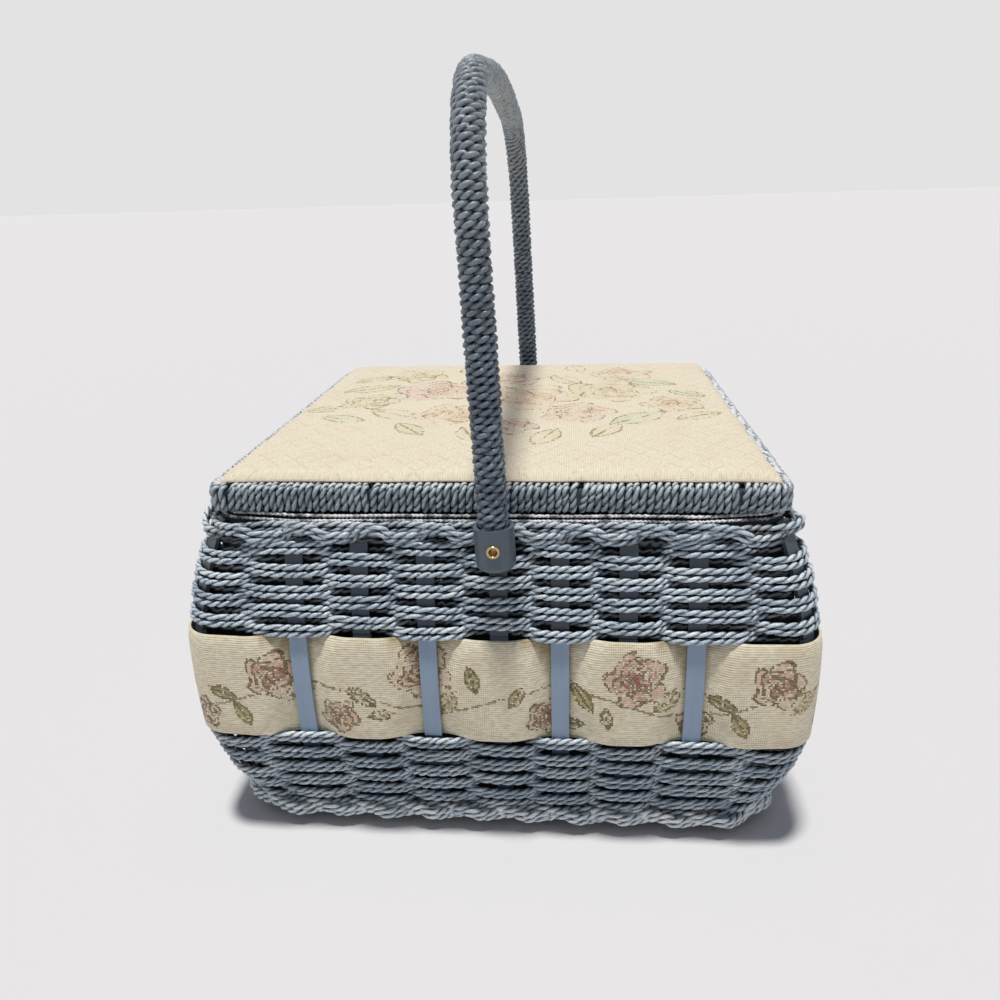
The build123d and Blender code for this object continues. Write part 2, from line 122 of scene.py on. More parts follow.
# Band, linings and pads
BAND_THICK = 1.1
BAND_SWELL = 1.4            # of its crests, out over the stakes
FLOOR_Z, FLOOR_PAD_T = 9.0, 2.0
LID_BOARD_Z, LID_LINING_T = 160.0, 2.1
LINING_GAP = 1.6            # from the cords to the cloth
LINING_HALF = 100.0         # of the square that its folds are counted round

# Lid
LID_Z, LID_TOP = 153.6, 165.8
LID_HALF = 119.6
LID_CORNER_R = 9.0
HOOP_W = 6.0
WRAP_PITCH = 3.0
WRAP_LAY = -9.0             # twisted the other way
WRAP_GROOVE, WRAP_UNEVEN = 0.42, 1.1
WRAP_CORD = 3.05
WRAP_SQUARED = 0.36         # the power that squares its turns round the hoop
WRAP_GAP = 2.4              # of the wider gaps, at the top of the edge
WRAP_GAPS = {               # their places along each side, from its middle
    0: (-109.0, -48.2, 34.5, 98.5),
    1: (-71.0, 12.0, 90.0),
    2: (-93.0, -20.0, 55.0),
    3: (-60.0, 26.0, 101.0),
}
LID_CROWN = 3.6             # of the padded top over the wound cord
LID_PAD_HALF = 115.8        # the padded top widens over the wound cord
LID_PAD_OUTER = 0.045       # the share of that where its edge rounds down

# Handle
PIVOT_Z = 148.0
LEG_Y = 135.67
HANDLE_BASE_Z = 151.4
HANDLE_CORNER_Z = 312.0
HANDLE_CROWN = 13.7
HANDLE_BEND_R = 50.0
HANDLE_TOP_R = 500.0
HANDLE_LEAN = 2.05
HANDLE_PITCH = 2.9
HANDLE_CORD_D = 3.7
HANDLE_CORD_R = 4.55        # of the wound cord's middle
HANDLE_LAY = 7.2
HANDLE_GROOVE, HANDLE_UNEVEN = 0.45, 0.5

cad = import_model()["nodes"]
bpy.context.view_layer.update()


# ---------------------------------------------------------------- node trees

MATH, VECTOR, AXES = "ShaderNodeMath", "ShaderNodeVectorMath", "ShaderNodeSeparateXYZ"
MIX, NOISE, RANGE = "ShaderNodeMix", "ShaderNodeTexNoise", "ShaderNodeMapRange"
STORE = "GeometryNodeStoreNamedAttribute"
CHOICES = {MATH: "operation", VECTOR: "operation", MIX: "data_type", NOISE: "noise_dimensions"}


def colour(code):
    """An sRGB hex value as the linear colour that a socket takes."""
    parts = [int(code[i:i + 2], 16) / 255 for i in (1, 3, 5)]
    return [c / 12.92 if c <= 0.04045 else ((c + 0.055) / 1.055) ** 2.4 for c in parts] + [1.0]


def feed(node, inputs):
    """Gives a node its inputs, by name or in the order of those in use.

    Each is a value, a hex colour, a socket, or a node, which stands for its first output in use.
    """
    if isinstance(inputs, dict):
        pairs = [(node.inputs[key], value) for key, value in inputs.items()]
    else:
        pairs = zip([socket for socket in node.inputs if socket.enabled], inputs)
    for socket, value in pairs:
        if isinstance(value, bpy.types.Node):
            value = next(output for output in value.outputs if output.enabled)
        if isinstance(value, bpy.types.NodeSocket):
            node.id_data.links.new(value, socket)
        else:
            is_colour = isinstance(value, str) and value.startswith("#")
            socket.default_value = colour(value) if is_colour else value


def adder(tree):
    """The function that adds a node to a tree with its inputs, its main choice and other settings."""

    def add(kind, inputs=(), choice=None, **settings):
        node = tree.nodes.new(kind)
        if choice:
            settings[CHOICES[kind]] = choice
        for key, value in settings.items():
            setattr(node, key, value)
        feed(node, inputs)
        return node

    return add


def new_tree(name, kind, inputs, output):
    """A node tree with its named inputs and one output: itself, its adder and what it is given."""
    tree = bpy.data.node_groups.new(name, kind)
    for label, socket in inputs.items():
        tree.interface.new_socket(label, in_out="INPUT", socket_type=f"NodeSocket{socket}")
    tree.interface.new_socket("Result", in_out="OUTPUT", socket_type=f"NodeSocket{output}")
    add = adder(tree)
    return tree, add, add("NodeGroupInput").outputs


def cord_tree():
    """Sweeps a two-lobed section along each route, turning once in every lay."""
    kinds = {"Route": "Geometry", "Finish": "Material"}
    kinds |= dict.fromkeys(("Diameter", "Lay", "Step", "Groove", "Uneven"), "Float")
    tree, add, given = new_tree("twisted cord", "GeometryNodeTree", kinds, "Geometry")
    turns = add(MATH, [add("GeometryNodeSplineLength"), given["Lay"]], "DIVIDE")
    whole = add(MATH, [turns], "ROUND")
    angle = add(MATH, [whole, -2 * math.pi], "MULTIPLY")
    share = add("GeometryNodeSplineParameter").outputs["Factor"]
    turned = add(MATH, [angle, share], "MULTIPLY")
    gone = add(MATH, [share, turns], "MULTIPLY")
    drift = add(NOISE, [gone, 0.7], "1D")
    signed = add(RANGE, [drift, 0.3, 0.7, -1.0])
    left = add(MATH, [1.0, share], "SUBTRACT")
    ends = add(MATH, [share, left], "MULTIPLY")
    held = add(MATH, [ends, 50.0], "MULTIPLY", use_clamp=True)
    amount = add(MATH, [held, given["Uneven"]], "MULTIPLY")
    tilt = add(MATH, [signed, amount, turned], "MULTIPLY_ADD")
    even = add("GeometryNodeResampleCurve", {"Curve": given["Route"], "Length": given["Step"]}, mode="LENGTH")
    twisted = add("GeometryNodeSetCurveTilt", {"Curve": even, "Tilt": tilt})
    number = add("GeometryNodeInputIndex")
    shade = add("FunctionNodeRandomValue", {"ID": number, "Seed": 5}, data_type="FLOAT")
    stored = {"Geometry": twisted, "Name": "shade", "Value": shade}
    shaded = add(STORE, stored, data_type="FLOAT", domain="CURVE")
    quarter = add(MATH, [number, math.pi / 2], "MULTIPLY")
    lobe = add(MATH, [quarter], "COSINE")
    away = add(MATH, [lobe, -0.5, 0.5], "MULTIPLY_ADD")
    squared = add(MATH, [away, 2.0], "POWER")
    pinched = add(MATH, [squared, given["Groove"]], "MULTIPLY")
    swell = add(MATH, [1.0, pinched], "SUBTRACT")
    pressed = add(VECTOR, [add("GeometryNodeInputPosition"), swell], "SCALE")
    radius = add(MATH, [given["Diameter"], 0.5], "MULTIPLY")
    circle = add("GeometryNodeCurvePrimitiveCircle", {"Resolution": 8, "Radius": radius}, mode="RADIUS")
    lobed = add("GeometryNodeSetPosition", {"Geometry": circle, "Position": pressed})
    marked = add(STORE, {"Geometry": lobed, "Name": "lobe", "Value": lobe}, data_type="FLOAT", domain="POINT")
    swept = add("GeometryNodeCurveToMesh", {"Curve": shaded, "Profile Curve": marked, "Fill Caps": True})
    smooth = add("GeometryNodeSetShadeSmooth", {"Geometry": swept})
    real = add("GeometryNodeRealizeInstances", {"Geometry": smooth})
    add("NodeGroupOutput", [add("GeometryNodeSetMaterial", {"Geometry": real, "Material": given["Finish"]})])
    return tree


CORD = cord_tree()


# ---------------------------------------------------------------- objects

def show(name, data):
    """Data as an object of the scene, both under one name."""
    data.name = name
    made = bpy.data.objects.new(name, data)
    bpy.context.scene.collection.objects.link(made)
    return made


def evaluated(source):
    """The mesh that an object's modifiers give; the object goes."""
    mesh = bpy.data.meshes.new_from_object(source.evaluated_get(bpy.context.evaluated_depsgraph_get()))
    bpy.data.objects.remove(source)
    return mesh


def dress(piece, body, slot, *stands_for):
    """Says what a piece moves with and which solids it stands for; its slot is not used."""
    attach(piece, body)
    if stands_for:
        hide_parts(*stands_for)
    return piece


def smooth_mesh(name, points, faces, material):
    """A smooth mesh in one material, from points in mm."""
    mesh = bpy.data.meshes.new(name)
    mesh.from_pydata((points.reshape(-1, 3) * MM).tolist(), [], faces.tolist())
    mesh.polygons.foreach_set("use_smooth", np.ones(len(faces), bool))
    mesh.materials.append(material)
    return mesh


def weld(mesh, gap, outward=False):
    """Makes points nearer than gap mm one, and turns the faces outward where asked."""
    work = bmesh.new()
    work.from_mesh(mesh)
    bmesh.ops.remove_doubles(work, verts=work.verts, dist=gap * MM)
    if outward:
        bmesh.ops.recalc_face_normals(work, faces=work.faces)
    work.to_mesh(mesh)
    work.free()


def routes_object(routes):
    """A curve object with one straight-run spline for each (points in mm, closed) route."""
    data = bpy.data.curves.new("route", "CURVE")
    data.dimensions = "3D"
    for points, closed in routes:
        spline = data.splines.new("POLY")
        spline.points.add(len(points) - 1)
        flat = np.ones((len(points), 4))
        flat[:, :3] = np.asarray(points) * MM
        spline.points.foreach_set("co", flat.ravel())
        spline.use_cyclic_u = closed
    return show("route", data)


def mark_painted_shade(mesh, front):
    """Stores how far each point lies behind the front cords, where the cord is painted dark as shade."""
    co = np.empty(len(mesh.vertices) * 3)
    mesh.vertices.foreach_get("co", co)
    co = co.reshape(-1, 3) / MM
    half, radius = mid_half(co[:, 2]), mid_corner(co[:, 2])
    over = np.abs(co[:, :2]) - (half - radius)[:, None]
    out = np.linalg.norm(np.maximum(over, 0), axis=1) + np.minimum(over.max(axis=1), 0) - radius
    painted_shade_behind = np.clip((front - out) / PAINTED_SHADE_DEPTH, 0, 1)
    mesh.attributes.new("painted_shade_behind", "FLOAT", "POINT").data.foreach_set("value", painted_shade_behind)


def cords(
    name, routes, finish, body, stands_for=(), diameter=CORD_FULL, lay=CORD_LAY,
    step=CORD_STEP, groove=GROOVE, front=WEAVE_FRONT, uneven=CORD_UNEVEN,
):
    """Twisted cords along the routes, as one piece that moves with a body."""
    values = {"Diameter": diameter * MM, "Lay": lay * MM, "Step": step * MM}
    values |= {"Groove": groove, "Uneven": uneven, "Finish": finish}
    source = routes_object(routes)
    modifier = source.modifiers.new("made", "NODES")
    modifier.node_group = CORD
    for item in CORD.interface.items_tree:
        if item.name in values:
            modifier[item.identifier] = values[item.name]
    piece = show(name, evaluated(source))
    if body == "basket":
        mark_painted_shade(piece.data, front)
    dress(piece, body, "paper_cord", *stands_for)


# ---------------------------------------------------------------- courses round the basket

def mid_half(z):
    """Half width of the basket at the middle of the stakes."""
    return BELLY_HALF - BOW_R + np.sqrt(BOW_R**2 - (z - BELLY_Z) ** 2)


def mid_corner(z):
    """Plan corner radius there: it opens out below the band."""
    below = np.maximum(0, (BAND_Z - z) / BAND_Z)
    return CORNER_R + (FOOT_CORNER_R - CORNER_R) * below**2


def round_corner(t, straight, radius):
    """Bend, and places along and out, t mm along a side that turns off at both of its ends."""
    bend = np.clip((np.abs(t) - straight) / radius, 0, math.pi / 4) * np.sign(t)
    along = np.clip(t, -straight, straight) + radius * np.sin(bend)
    return bend, along, straight + radius * np.cos(bend)


def rounded_square(half, radius, step=1.5):
    """Points, outward directions and distances round a rounded square, and a quarter's length.

    It starts at the middle of the front wall, towards +X.
    """
    straight = half - radius
    quarter = 2 * straight + math.pi / 2 * radius
    count = 4 * round(quarter / step)
    s = np.arange(count) * 4 * quarter / count
    side = (s + quarter / 2) // quarter
    bend, along, out = round_corner(s - side * quarter, straight, radius)
    turn = side * math.pi / 2
    c, d = np.cos(turn), np.sin(turn)
    points = np.stack([along * c + out * d, along * d - out * c], 1)
    lean = turn + bend
    normals = np.stack([np.sin(lean), -np.cos(lean)], 1)
    return points, normals, s, quarter


def stake_marks(quarter):
    """Distances along the course of the stakes and corner posts, and on into the next turn."""
    marks = []
    for side in range(5):
        for i in range(STAKES):
            place = (i - (STAKES - 1) / 2) * STAKE_PITCH
            if place == 0 and side % 2 == 0:
                place = PIVOT_X if side % 4 == 0 else -PIVOT_X
            marks.append(side * quarter + place)
        marks.append((side + 0.5) * quarter)
    return np.array(marks)


def wobble(s, total, size, seed):
    """A smooth closed unevenness along a course."""
    dice = np.random.default_rng(seed)
    counts = (3, 7, 12, 19)
    waves = [dice.normal() * np.sin(2 * math.pi * n * s / total + dice.uniform(0, 6.28)) for n in counts]
    return size * sum(waves) / 2


def eased(share):
    """A share from 0 to 1 with soft ends."""
    return share * share * (3 - 2 * share)


def near_corner(s, quarter, reach):
    """1 at the corners of a course, falling evenly to 0 within reach."""
    return np.clip(1 - np.abs(s % quarter - quarter / 2) / reach, 0, 1)


def per_turn(turn, turns, size):
    """An unevenness along a winding that is drawn anew for each of its turns."""
    return size * np.interp(turn, np.arange(turns + 1), rng.normal(size=turns + 1))


def weave_route(z, parity, upper):
    """One cord of a pair: in front of every other stake, and behind those between."""
    level = z + (1 if upper else -1) * (PAIR_AT_CROSSING + PAIR_AT_STAKE) / 2
    points, normals, s, quarter = rounded_square(mid_half(level), mid_corner(level))
    marks = stake_marks(quarter)
    total = 4 * quarter
    rank = np.interp(s, marks, np.arange(len(marks))) + wobble(s, total, 0.05, round(z * 3))
    wave = np.tanh(2.0 * np.cos(math.pi * (rank + parity))) / math.tanh(2.0)
    seed = round(level * 10)
    bows = np.random.default_rng(round(z * 10)).normal(size=8 * 4)[np.round(rank).astype(int) % 32]
    depth = wave * (STAKE_T + CORD_D) / 2 + 0.3 * np.maximum(wave, 0) + wobble(s, total, 0.16, seed)
    spread = PAIR_AT_CROSSING + (PAIR_AT_STAKE - PAIR_AT_CROSSING) * np.abs(wave)
    height = z + (spread if upper else -spread) + 0.3 * bows * wave**2
    height += wobble(s, total, 0.3, round(z / 9)) + wobble(s, total, 0.13, seed + 1)
    return np.column_stack([points + normals * depth[:, None], height]), True


def weave_routes(rows, first_z, pitch):
    """Pairs of cord for each row; the row next to the band lies in front where the band lies behind."""
    routes = []
    for row in rows:
        z = first_z + row * pitch
        routes += [weave_route(z, row % 2, upper) for upper in (False, True)]
    return routes


def hinge_nearness(points, reach):
    """1 beside the hinges of the -X wall, falling to 0 within reach."""
    off = np.abs(np.abs(points[:, 1]) - HINGE_Y) - HINGE_HALF
    near = np.clip(1 - off / reach, 0, 1) * (points[:, 0] < -LID_HALF + LID_CORNER_R)
    return eased(near)


def plait_routes(z, height, period, middle, cord, under_lid=False):
    """Three doubled strands plaited round the basket.

    Each crosses steeply in front from one edge to the other, the falling ones over the rising
    ones, and sinks behind as it runs along an edge. Under the lid the plait dips clear of the
    hinges and goes close round the corners.
    """
    points, normals, s, quarter = rounded_square(mid_half(z), mid_corner(z))
    total = 4 * quarter
    turns = round(total / period)
    swing = height / 2 - PLAIT_PAIR - cord * 0.4
    dip = under_lid * 1.5 * hinge_nearness(points, 6.0)
    tight = under_lid * (0.5 - 0.5 * np.cos(math.pi * near_corner(s, quarter, PLAIT_CORNER)))
    along = np.stack([-normals[:, 1], normals[:, 0]], 1)
    routes = []
    for strand in range(3):
        phase = 2 * math.pi * (turns * s / total + strand / 3) + wobble(s, total, 0.12, 40 + strand)
        crossed = 0.72 * np.tanh(PLAIT_SNAP * np.sin(phase)) - 0.3 * np.cos(phase)
        level = z + swing * crossed * (1 - dip / 6) * (1 - 0.3 * tight) - dip - PLAIT_CORNER_DOWN * tight
        level += wobble(s, total, 0.25, 60 + strand)
        slope = np.gradient(level, s)
        tall = 1 / np.sqrt(1 + slope**2)
        for pair in (-1, 1):
            out = middle + PLAIT_DEPTH * np.cos(2 * phase) - PLAIT_LIFT * np.cos(phase)
            out += wobble(s, total, 0.2, 50 + strand + pair) - PLAIT_CORNER_IN * tight
            apart = pair * PLAIT_PAIR * (1 + wobble(s, total, 0.1, 70 + strand))
            place = points + normals * out[:, None] - along * (apart * slope * tall)[:, None]
            routes.append((np.column_stack([place, level + apart * tall]), True))
    return routes


def open_runs(points, keep):
    """The stretches of a closed course where keep holds, as open routes."""
    start = int(np.argmin(keep))
    order = np.roll(np.arange(len(points)), -start)
    runs, run = [], []
    for i in order:
        if keep[i]:
            run.append(points[i])
        elif len(run) > 1:
            runs.append((np.array(run), False))
            run = []
    if len(run) > 1:
        runs.append((np.array(run), False))
    return runs


def rim_routes():
    """Two thin cords one on the other on the rim, broken at the hinges."""
    routes = []
    for row in range(2):
        middle = mid_half(RIM_TOP) + (0.6 if row else 1.6)
        z = RIM_TOP + row * RIM_CORD_RISE
        points, normals, s, quarter = rounded_square(middle, CORNER_R)
        tucked = wobble(s, 4 * quarter, 0.2, 82 + row) - 4.5 * near_corner(s, quarter, 34)
        points = points + normals * tucked[:, None]
        route = np.column_stack([points, z + wobble(s, 4 * quarter, 0.14, 80 + row)])
        routes += open_runs(route, hinge_nearness(points, 0.5) < 0.01)
    return routes


def lid_edge_route(side):
    """Cord wound over the lid's hoop along one side, from corner to corner."""
    radius = LID_CORNER_R - CORD_D - HOOP_W / 2
    straight = LID_HALF - LID_CORNER_R
    quarter = 2 * straight + math.pi / 2 * radius
    places = np.linspace(-quarter / 2, quarter / 2, 1200)
    crowd = np.where(np.abs(places) > straight, 2.0, 1.0)
    pace = np.concatenate([[0], np.cumsum((crowd[1:] + crowd[:-1]) / 2 * np.diff(places))])
    turns = math.floor(pace[-1] / WRAP_PITCH)
    turn = np.linspace(0, turns, turns * 28)
    reach = np.interp((turn + per_turn(turn, turns, 0.07)) / turns * pace[-1], pace, places)
    bend, along, out = round_corner(reach, straight, radius)
    angle = 2 * math.pi * turn + math.pi
    across, rise = np.cos(angle), np.sin(angle)
    a = np.where(across > 0, HOOP_W / 2 + CORD_D / 2, HOOP_W / 2)
    b = (LID_TOP - LID_Z - CORD_D) / 2
    offset = a * np.sign(across) * np.abs(across) ** WRAP_SQUARED
    offset += per_turn(turn, turns, 0.12) * (across > 0)
    lift = np.sign(rise) * np.abs(rise) ** WRAP_SQUARED
    height = (LID_Z + LID_TOP) / 2 + b * lift
    for gap in WRAP_GAPS[side]:
        away = reach - gap
        along = along + np.tanh(away) * np.exp(-((away / 8) ** 2)) * WRAP_GAP / 2 * (0.55 + 0.45 * lift)
    along = along + offset * np.sin(bend)
    out = out + offset * np.cos(bend)
    c, d = math.cos(side * math.pi / 2), math.sin(side * math.pi / 2)
    return np.column_stack([along * c + out * d, along * d - out * c, height]), False


def handle_line(step=1.0):
    """Points along the handle's middle and their directions, before its lean."""
    slope = math.atan2(HANDLE_CROWN, LEG_Y)
    turn = math.pi / 2 - slope
    tangent = HANDLE_BEND_R * math.tan(turn / 2)
    leg = HANDLE_CORNER_Z - tangent - HANDLE_BASE_Z
    top = math.hypot(LEG_Y, HANDLE_CROWN) - tangent
    half = leg + HANDLE_BEND_R * turn + top
    s = np.linspace(0, half, round(half / step))
    bend = np.clip((s - leg) / HANDLE_BEND_R, 0, turn)
    beyond = np.maximum(s - leg - HANDLE_BEND_R * turn, 0)
    y = -LEG_Y + HANDLE_BEND_R * (1 - np.cos(bend)) + beyond * math.cos(slope)
    z = HANDLE_BASE_Z + np.minimum(s, leg) + HANDLE_BEND_R * np.sin(bend) + beyond * math.sin(slope)
    peak = HANDLE_CORNER_Z + HANDLE_CROWN - HANDLE_TOP_R * (1 / math.cos(slope) - 1)
    crown_z = peak - HANDLE_TOP_R + np.sqrt(HANDLE_TOP_R**2 - y**2)
    z = np.where(np.abs(y) < HANDLE_TOP_R * math.sin(slope), crown_z, z)
    points = np.column_stack([np.full(len(s), PIVOT_X), y, z])
    back = points[::-1][1:] * [1, -1, 1]
    points = np.concatenate([points, back])
    along = np.gradient(points, axis=0)
    along /= np.linalg.norm(along, axis=1)[:, None]
    return points, along


def lean(points):
    """The handle's resting lean about its pivots."""
    a = math.radians(HANDLE_LEAN)
    x, z = points[:, 0] - PIVOT_X, points[:, 2] - PIVOT_Z
    leant = x * math.cos(a) - z * math.sin(a), x * math.sin(a) + z * math.cos(a)
    return np.column_stack([PIVOT_X + leant[0], points[:, 1], PIVOT_Z + leant[1]])


def handle_route():
    """Cord wound close round the handle's core, from cup to cup."""
    points, along = handle_line()
    gone = np.concatenate([[0], np.cumsum(np.linalg.norm(np.diff(points, axis=0), axis=1))])
    turns = round(gone[-1] / HANDLE_PITCH)
    turn = np.linspace(0, turns, turns * 24)
    s = np.clip(turn / turns * gone[-1] + per_turn(turn, turns, 0.14), 0, gone[-1])
    middle, ahead = (
        np.column_stack([np.interp(s, gone, axis) for axis in line.T]) for line in (points, along)
    )
    across = np.tile([1.0, 0.0, 0.0], (len(s), 1))
    outward = np.cross(across, ahead)
    angle = 2 * math.pi * turn
    radius = HANDLE_CORD_R + per_turn(turn, turns, 0.1)
    route = middle + radius[:, None] * (across * np.cos(angle)[:, None] + outward * np.sin(angle)[:, None])
    return lean(route), False


# ---------------------------------------------------------------- finishes

def finish(name, **values):
    """A material on a Principled shader with its plain values, its adder and its places."""
    made = bpy.data.materials.new(name)
    made.use_nodes = True
    made.node_tree.nodes.clear()
    add = adder(made.node_tree)
    shader = add("ShaderNodeBsdfPrincipled", {key.replace("_", " "): value for key, value in values.items()})
    shader.name = "face"
    add("ShaderNodeOutputMaterial", {"Surface": shader})
    return made, add, add("ShaderNodeTexCoord").outputs["Object"]


def faced(made, add, face, relief=None, strength=0.3, depth=0.0, **more):
    """The material with its colour laid on, and where it has one its relief, depth mm deep."""
    if relief:
        inputs = {"Height": relief, "Strength": strength, "Distance": depth * MM}
        more["Normal"] = add("ShaderNodeBump", inputs)
    feed(made.node_tree.nodes["face"], {"Base Color": face} | more)
    return made


def mottled(add, place, spot, detail, ground, spots):
    """A cloud with spots about spot mm wide, and the ground's colour with those spots on it."""
    cloud = add(NOISE, [place, 1 / (spot * MM), detail])
    return cloud, add(MIX, [cloud, ground, spots], "RGBA")


def paper_cord(name, dyes, gloss=0.34, pale_from=1.0, over=0.11, pale="#A9B0B3"):
    """Dyed and lacquered two-ply paper cord: mottled dye, fine crinkle, a soft gloss on each lobe.

    The grooves between its strands and the stretches behind the front cords are painted dark as shade;
    above a given height it turns paler, more and more over the next few: on the lid's cord a painted
    highlight along its top.
    """
    made, add, place = finish(name, Roughness=gloss, Specular_IOR_Level=0.6)
    shade, lobe, painted_shade_behind = (
        add("ShaderNodeAttribute", attribute_name=mark).outputs["Fac"] for mark in ("shade", "lobe", "painted_shade_behind")
    )
    dye, mottle = (add(NOISE, [place, 1 / (spot * MM), 3.0]) for spot in (12, 0.8))
    mixed = add(MATH, [shade, 0.3, -0.3], "MULTIPLY_ADD")
    spotted = add(MATH, [mottle, 0.7, mixed], "MULTIPLY_ADD")
    tone = add(MATH, [dye, 0.7, spotted], "MULTIPLY_ADD")
    ramp = add("ShaderNodeValToRGB", [tone])
    stops = ramp.color_ramp.elements
    stops.new(0.55)
    for stop, position, dye_colour in zip(stops, (0.25, 0.55, 0.85), dyes):
        stop.position, stop.color = position, colour(dye_colour)
    height = add(AXES, [place]).outputs["Z"]
    # paler above the given height: on the lid's cord a painted highlight along its top
    worn = add(RANGE, [height, pale_from, pale_from + over, 0.0, 0.6])
    paled = add(MIX, [worn, ramp, pale], "RGBA")
    # painted shade: the grooves between the strands, and the cord behind the front cords, darkened towards
    # #12171C
    groove = add(RANGE, [lobe, -1.0, 0.1])
    kept = add(MATH, [painted_shade_behind, -0.9, 1.0], "MULTIPLY_ADD")
    light = add(MATH, [groove, kept], "MULTIPLY")
    dark = add(MIX, [light, "#12171C", paled], "RGBA")
    return faced(made, add, dark, mottle, 0.3, 0.18)


def rim_cord():
    """Undyed, bleached paper cord, soiled in patches."""
    made, add, place = finish("bleached paper cord", Roughness=0.6)
    cloud = add(NOISE, [place, 1 / (5 * MM), 3.0])
    soil = add(RANGE, [cloud, 0.42, 0.6])
    return faced(made, add, add(MIX, [soil, "#F7F4F4", "#6E6E73"], "RGBA"))


STITCH = 0.8                # of the woven patterns, in mm
RIB = 1.0                   # from one rib of the cloth to the next, in mm
ROSE_RINGS = (              # how far out, petals, their wave, how deep the colour
    (0.86, 5, 0.12, 0.0),
    (0.62, 4, 0.1, 0.4),
    (0.4, 3, 0.09, 0.75),
    (0.2, 2, 0.06, 1.0),
)


def motif_tree(name, inks):
    """The start of a tree that lays a motif over a ground; it works in mm.

    Gives the tree, its adder, what it is given, the way from the motif's middle, and that way's
    two parts as the motif is turned.
    """
    kinds = {"Ground": "Color", "Place": "Vector", "Centre": "Vector", "Size": "Float", "Turn": "Float"}
    tree, add, given = new_tree(name, "ShaderNodeTree", kinds | dict.fromkeys(inks, "Color"), "Color")
    apart = add(VECTOR, [given["Place"], given["Centre"]], "SUBTRACT")
    turned = add("ShaderNodeVectorRotate", {"Vector": apart, "Angle": given["Turn"]}, rotation_type="Z_AXIS")
    return tree, add, given, apart, add(AXES, [turned]).outputs


def rose_tree():
    """A woven rose laid over a ground in swirling rings of petals."""
    tree, add, given, apart, axes = motif_tree("woven rose", ("Petal", "Heart", "Line"))
    reach = add(VECTOR, [apart], "LENGTH")
    far = add(MATH, [reach, given["Size"]], "DIVIDE")
    way = add(MATH, [axes["Y"], axes["X"]], "ARCTAN2")
    line = add(MATH, [STITCH * 0.85, given["Size"]], "DIVIDE")
    streak = add(VECTOR, [given["Place"], (0.2, 0.75, 1.0)], "MULTIPLY")
    patch = add(NOISE, [streak, 1.0, 2.0])
    under = given["Ground"]
    for level, petals, wave, deepness in ROSE_RINGS:
        swirl = add(MATH, [far, 5.0, level * 9], "MULTIPLY_ADD")
        angle = add(MATH, [way, float(petals), swirl], "MULTIPLY_ADD")
        lobes = add(MATH, [angle], "COSINE")
        rim = add(MATH, [lobes, wave, level], "MULTIPLY_ADD")
        inside = add(MATH, [far, rim], "LESS_THAN")
        edge = add(MATH, [far, rim, line], "COMPARE")
        depth = add(RANGE, [patch, 0.35, 0.65, deepness - 0.45, deepness + 0.35])
        tone = add(MIX, [depth, given["Petal"], given["Heart"]], "RGBA")
        filled = add(MIX, [inside, under, tone], "RGBA")
        under = add(MIX, [edge, filled, given["Line"]], "RGBA")
    add("NodeGroupOutput", [under])
    return tree


def leaf_tree():
    """A pointed woven leaf with its outline and midrib."""
    tree, add, given, _, axes = motif_tree("woven leaf", ("Blade", "Line"))
    u = add(MATH, [axes["X"], given["Size"]], "DIVIDE")
    v = add(MATH, [axes["Y"], given["Size"]], "DIVIDE")
    side = add(MATH, [v], "ABSOLUTE")
    squared = add(MATH, [u, u], "MULTIPLY")
    width = add(MATH, [squared, -0.46, 0.46], "MULTIPLY_ADD")
    depth = add(MATH, [width, side], "SUBTRACT")
    shown = add(MATH, [depth, 0.0], "GREATER_THAN")
    line = add(MATH, [STITCH * 0.8, given["Size"]], "DIVIDE")
    edge = add(MATH, [depth, line, line], "COMPARE")
    rib = add(MATH, [side, line], "LESS_THAN")
    ribbed = add(MATH, [rib, shown], "MULTIPLY")
    lines = add(MATH, [edge, ribbed], "MAXIMUM")
    blade = add(MIX, [shown, given["Ground"], given["Blade"]], "RGBA")
    lined = add(MIX, [lines, blade, given["Line"]], "RGBA")
    add("NodeGroupOutput", [lined])
    return tree


ROSE, LEAF = rose_tree(), leaf_tree()


def flowers(add, ground, place, layers):
    """Lays layers of motifs over the ground, each motif at its x, y, size in mm and turn in degrees."""
    under = ground
    for motif, spots, inks in layers:
        for i, (x, y, size, turn) in enumerate(spots):
            values = [under, place, (x, y, 0), size, math.radians(turn), *inks[i % len(inks)]]
            under = add("ShaderNodeGroup", values, node_tree=motif)
    return under


def stitched(add, place):
    """Places snapped to the middle of each stitch, so that a motif has woven steps along its edge."""
    snapped = add(VECTOR, [place, (STITCH, STITCH, 1)], "SNAP")
    return add(VECTOR, [snapped, (STITCH / 2, STITCH / 2, 0)], "ADD")


def flat_place(add, place):
    """A place in metres as one in mm with no height."""
    in_mm = add(VECTOR, [place, 1 / MM], "SCALE")
    return add(VECTOR, [in_mm, (1, 1, 0)], "MULTIPLY")


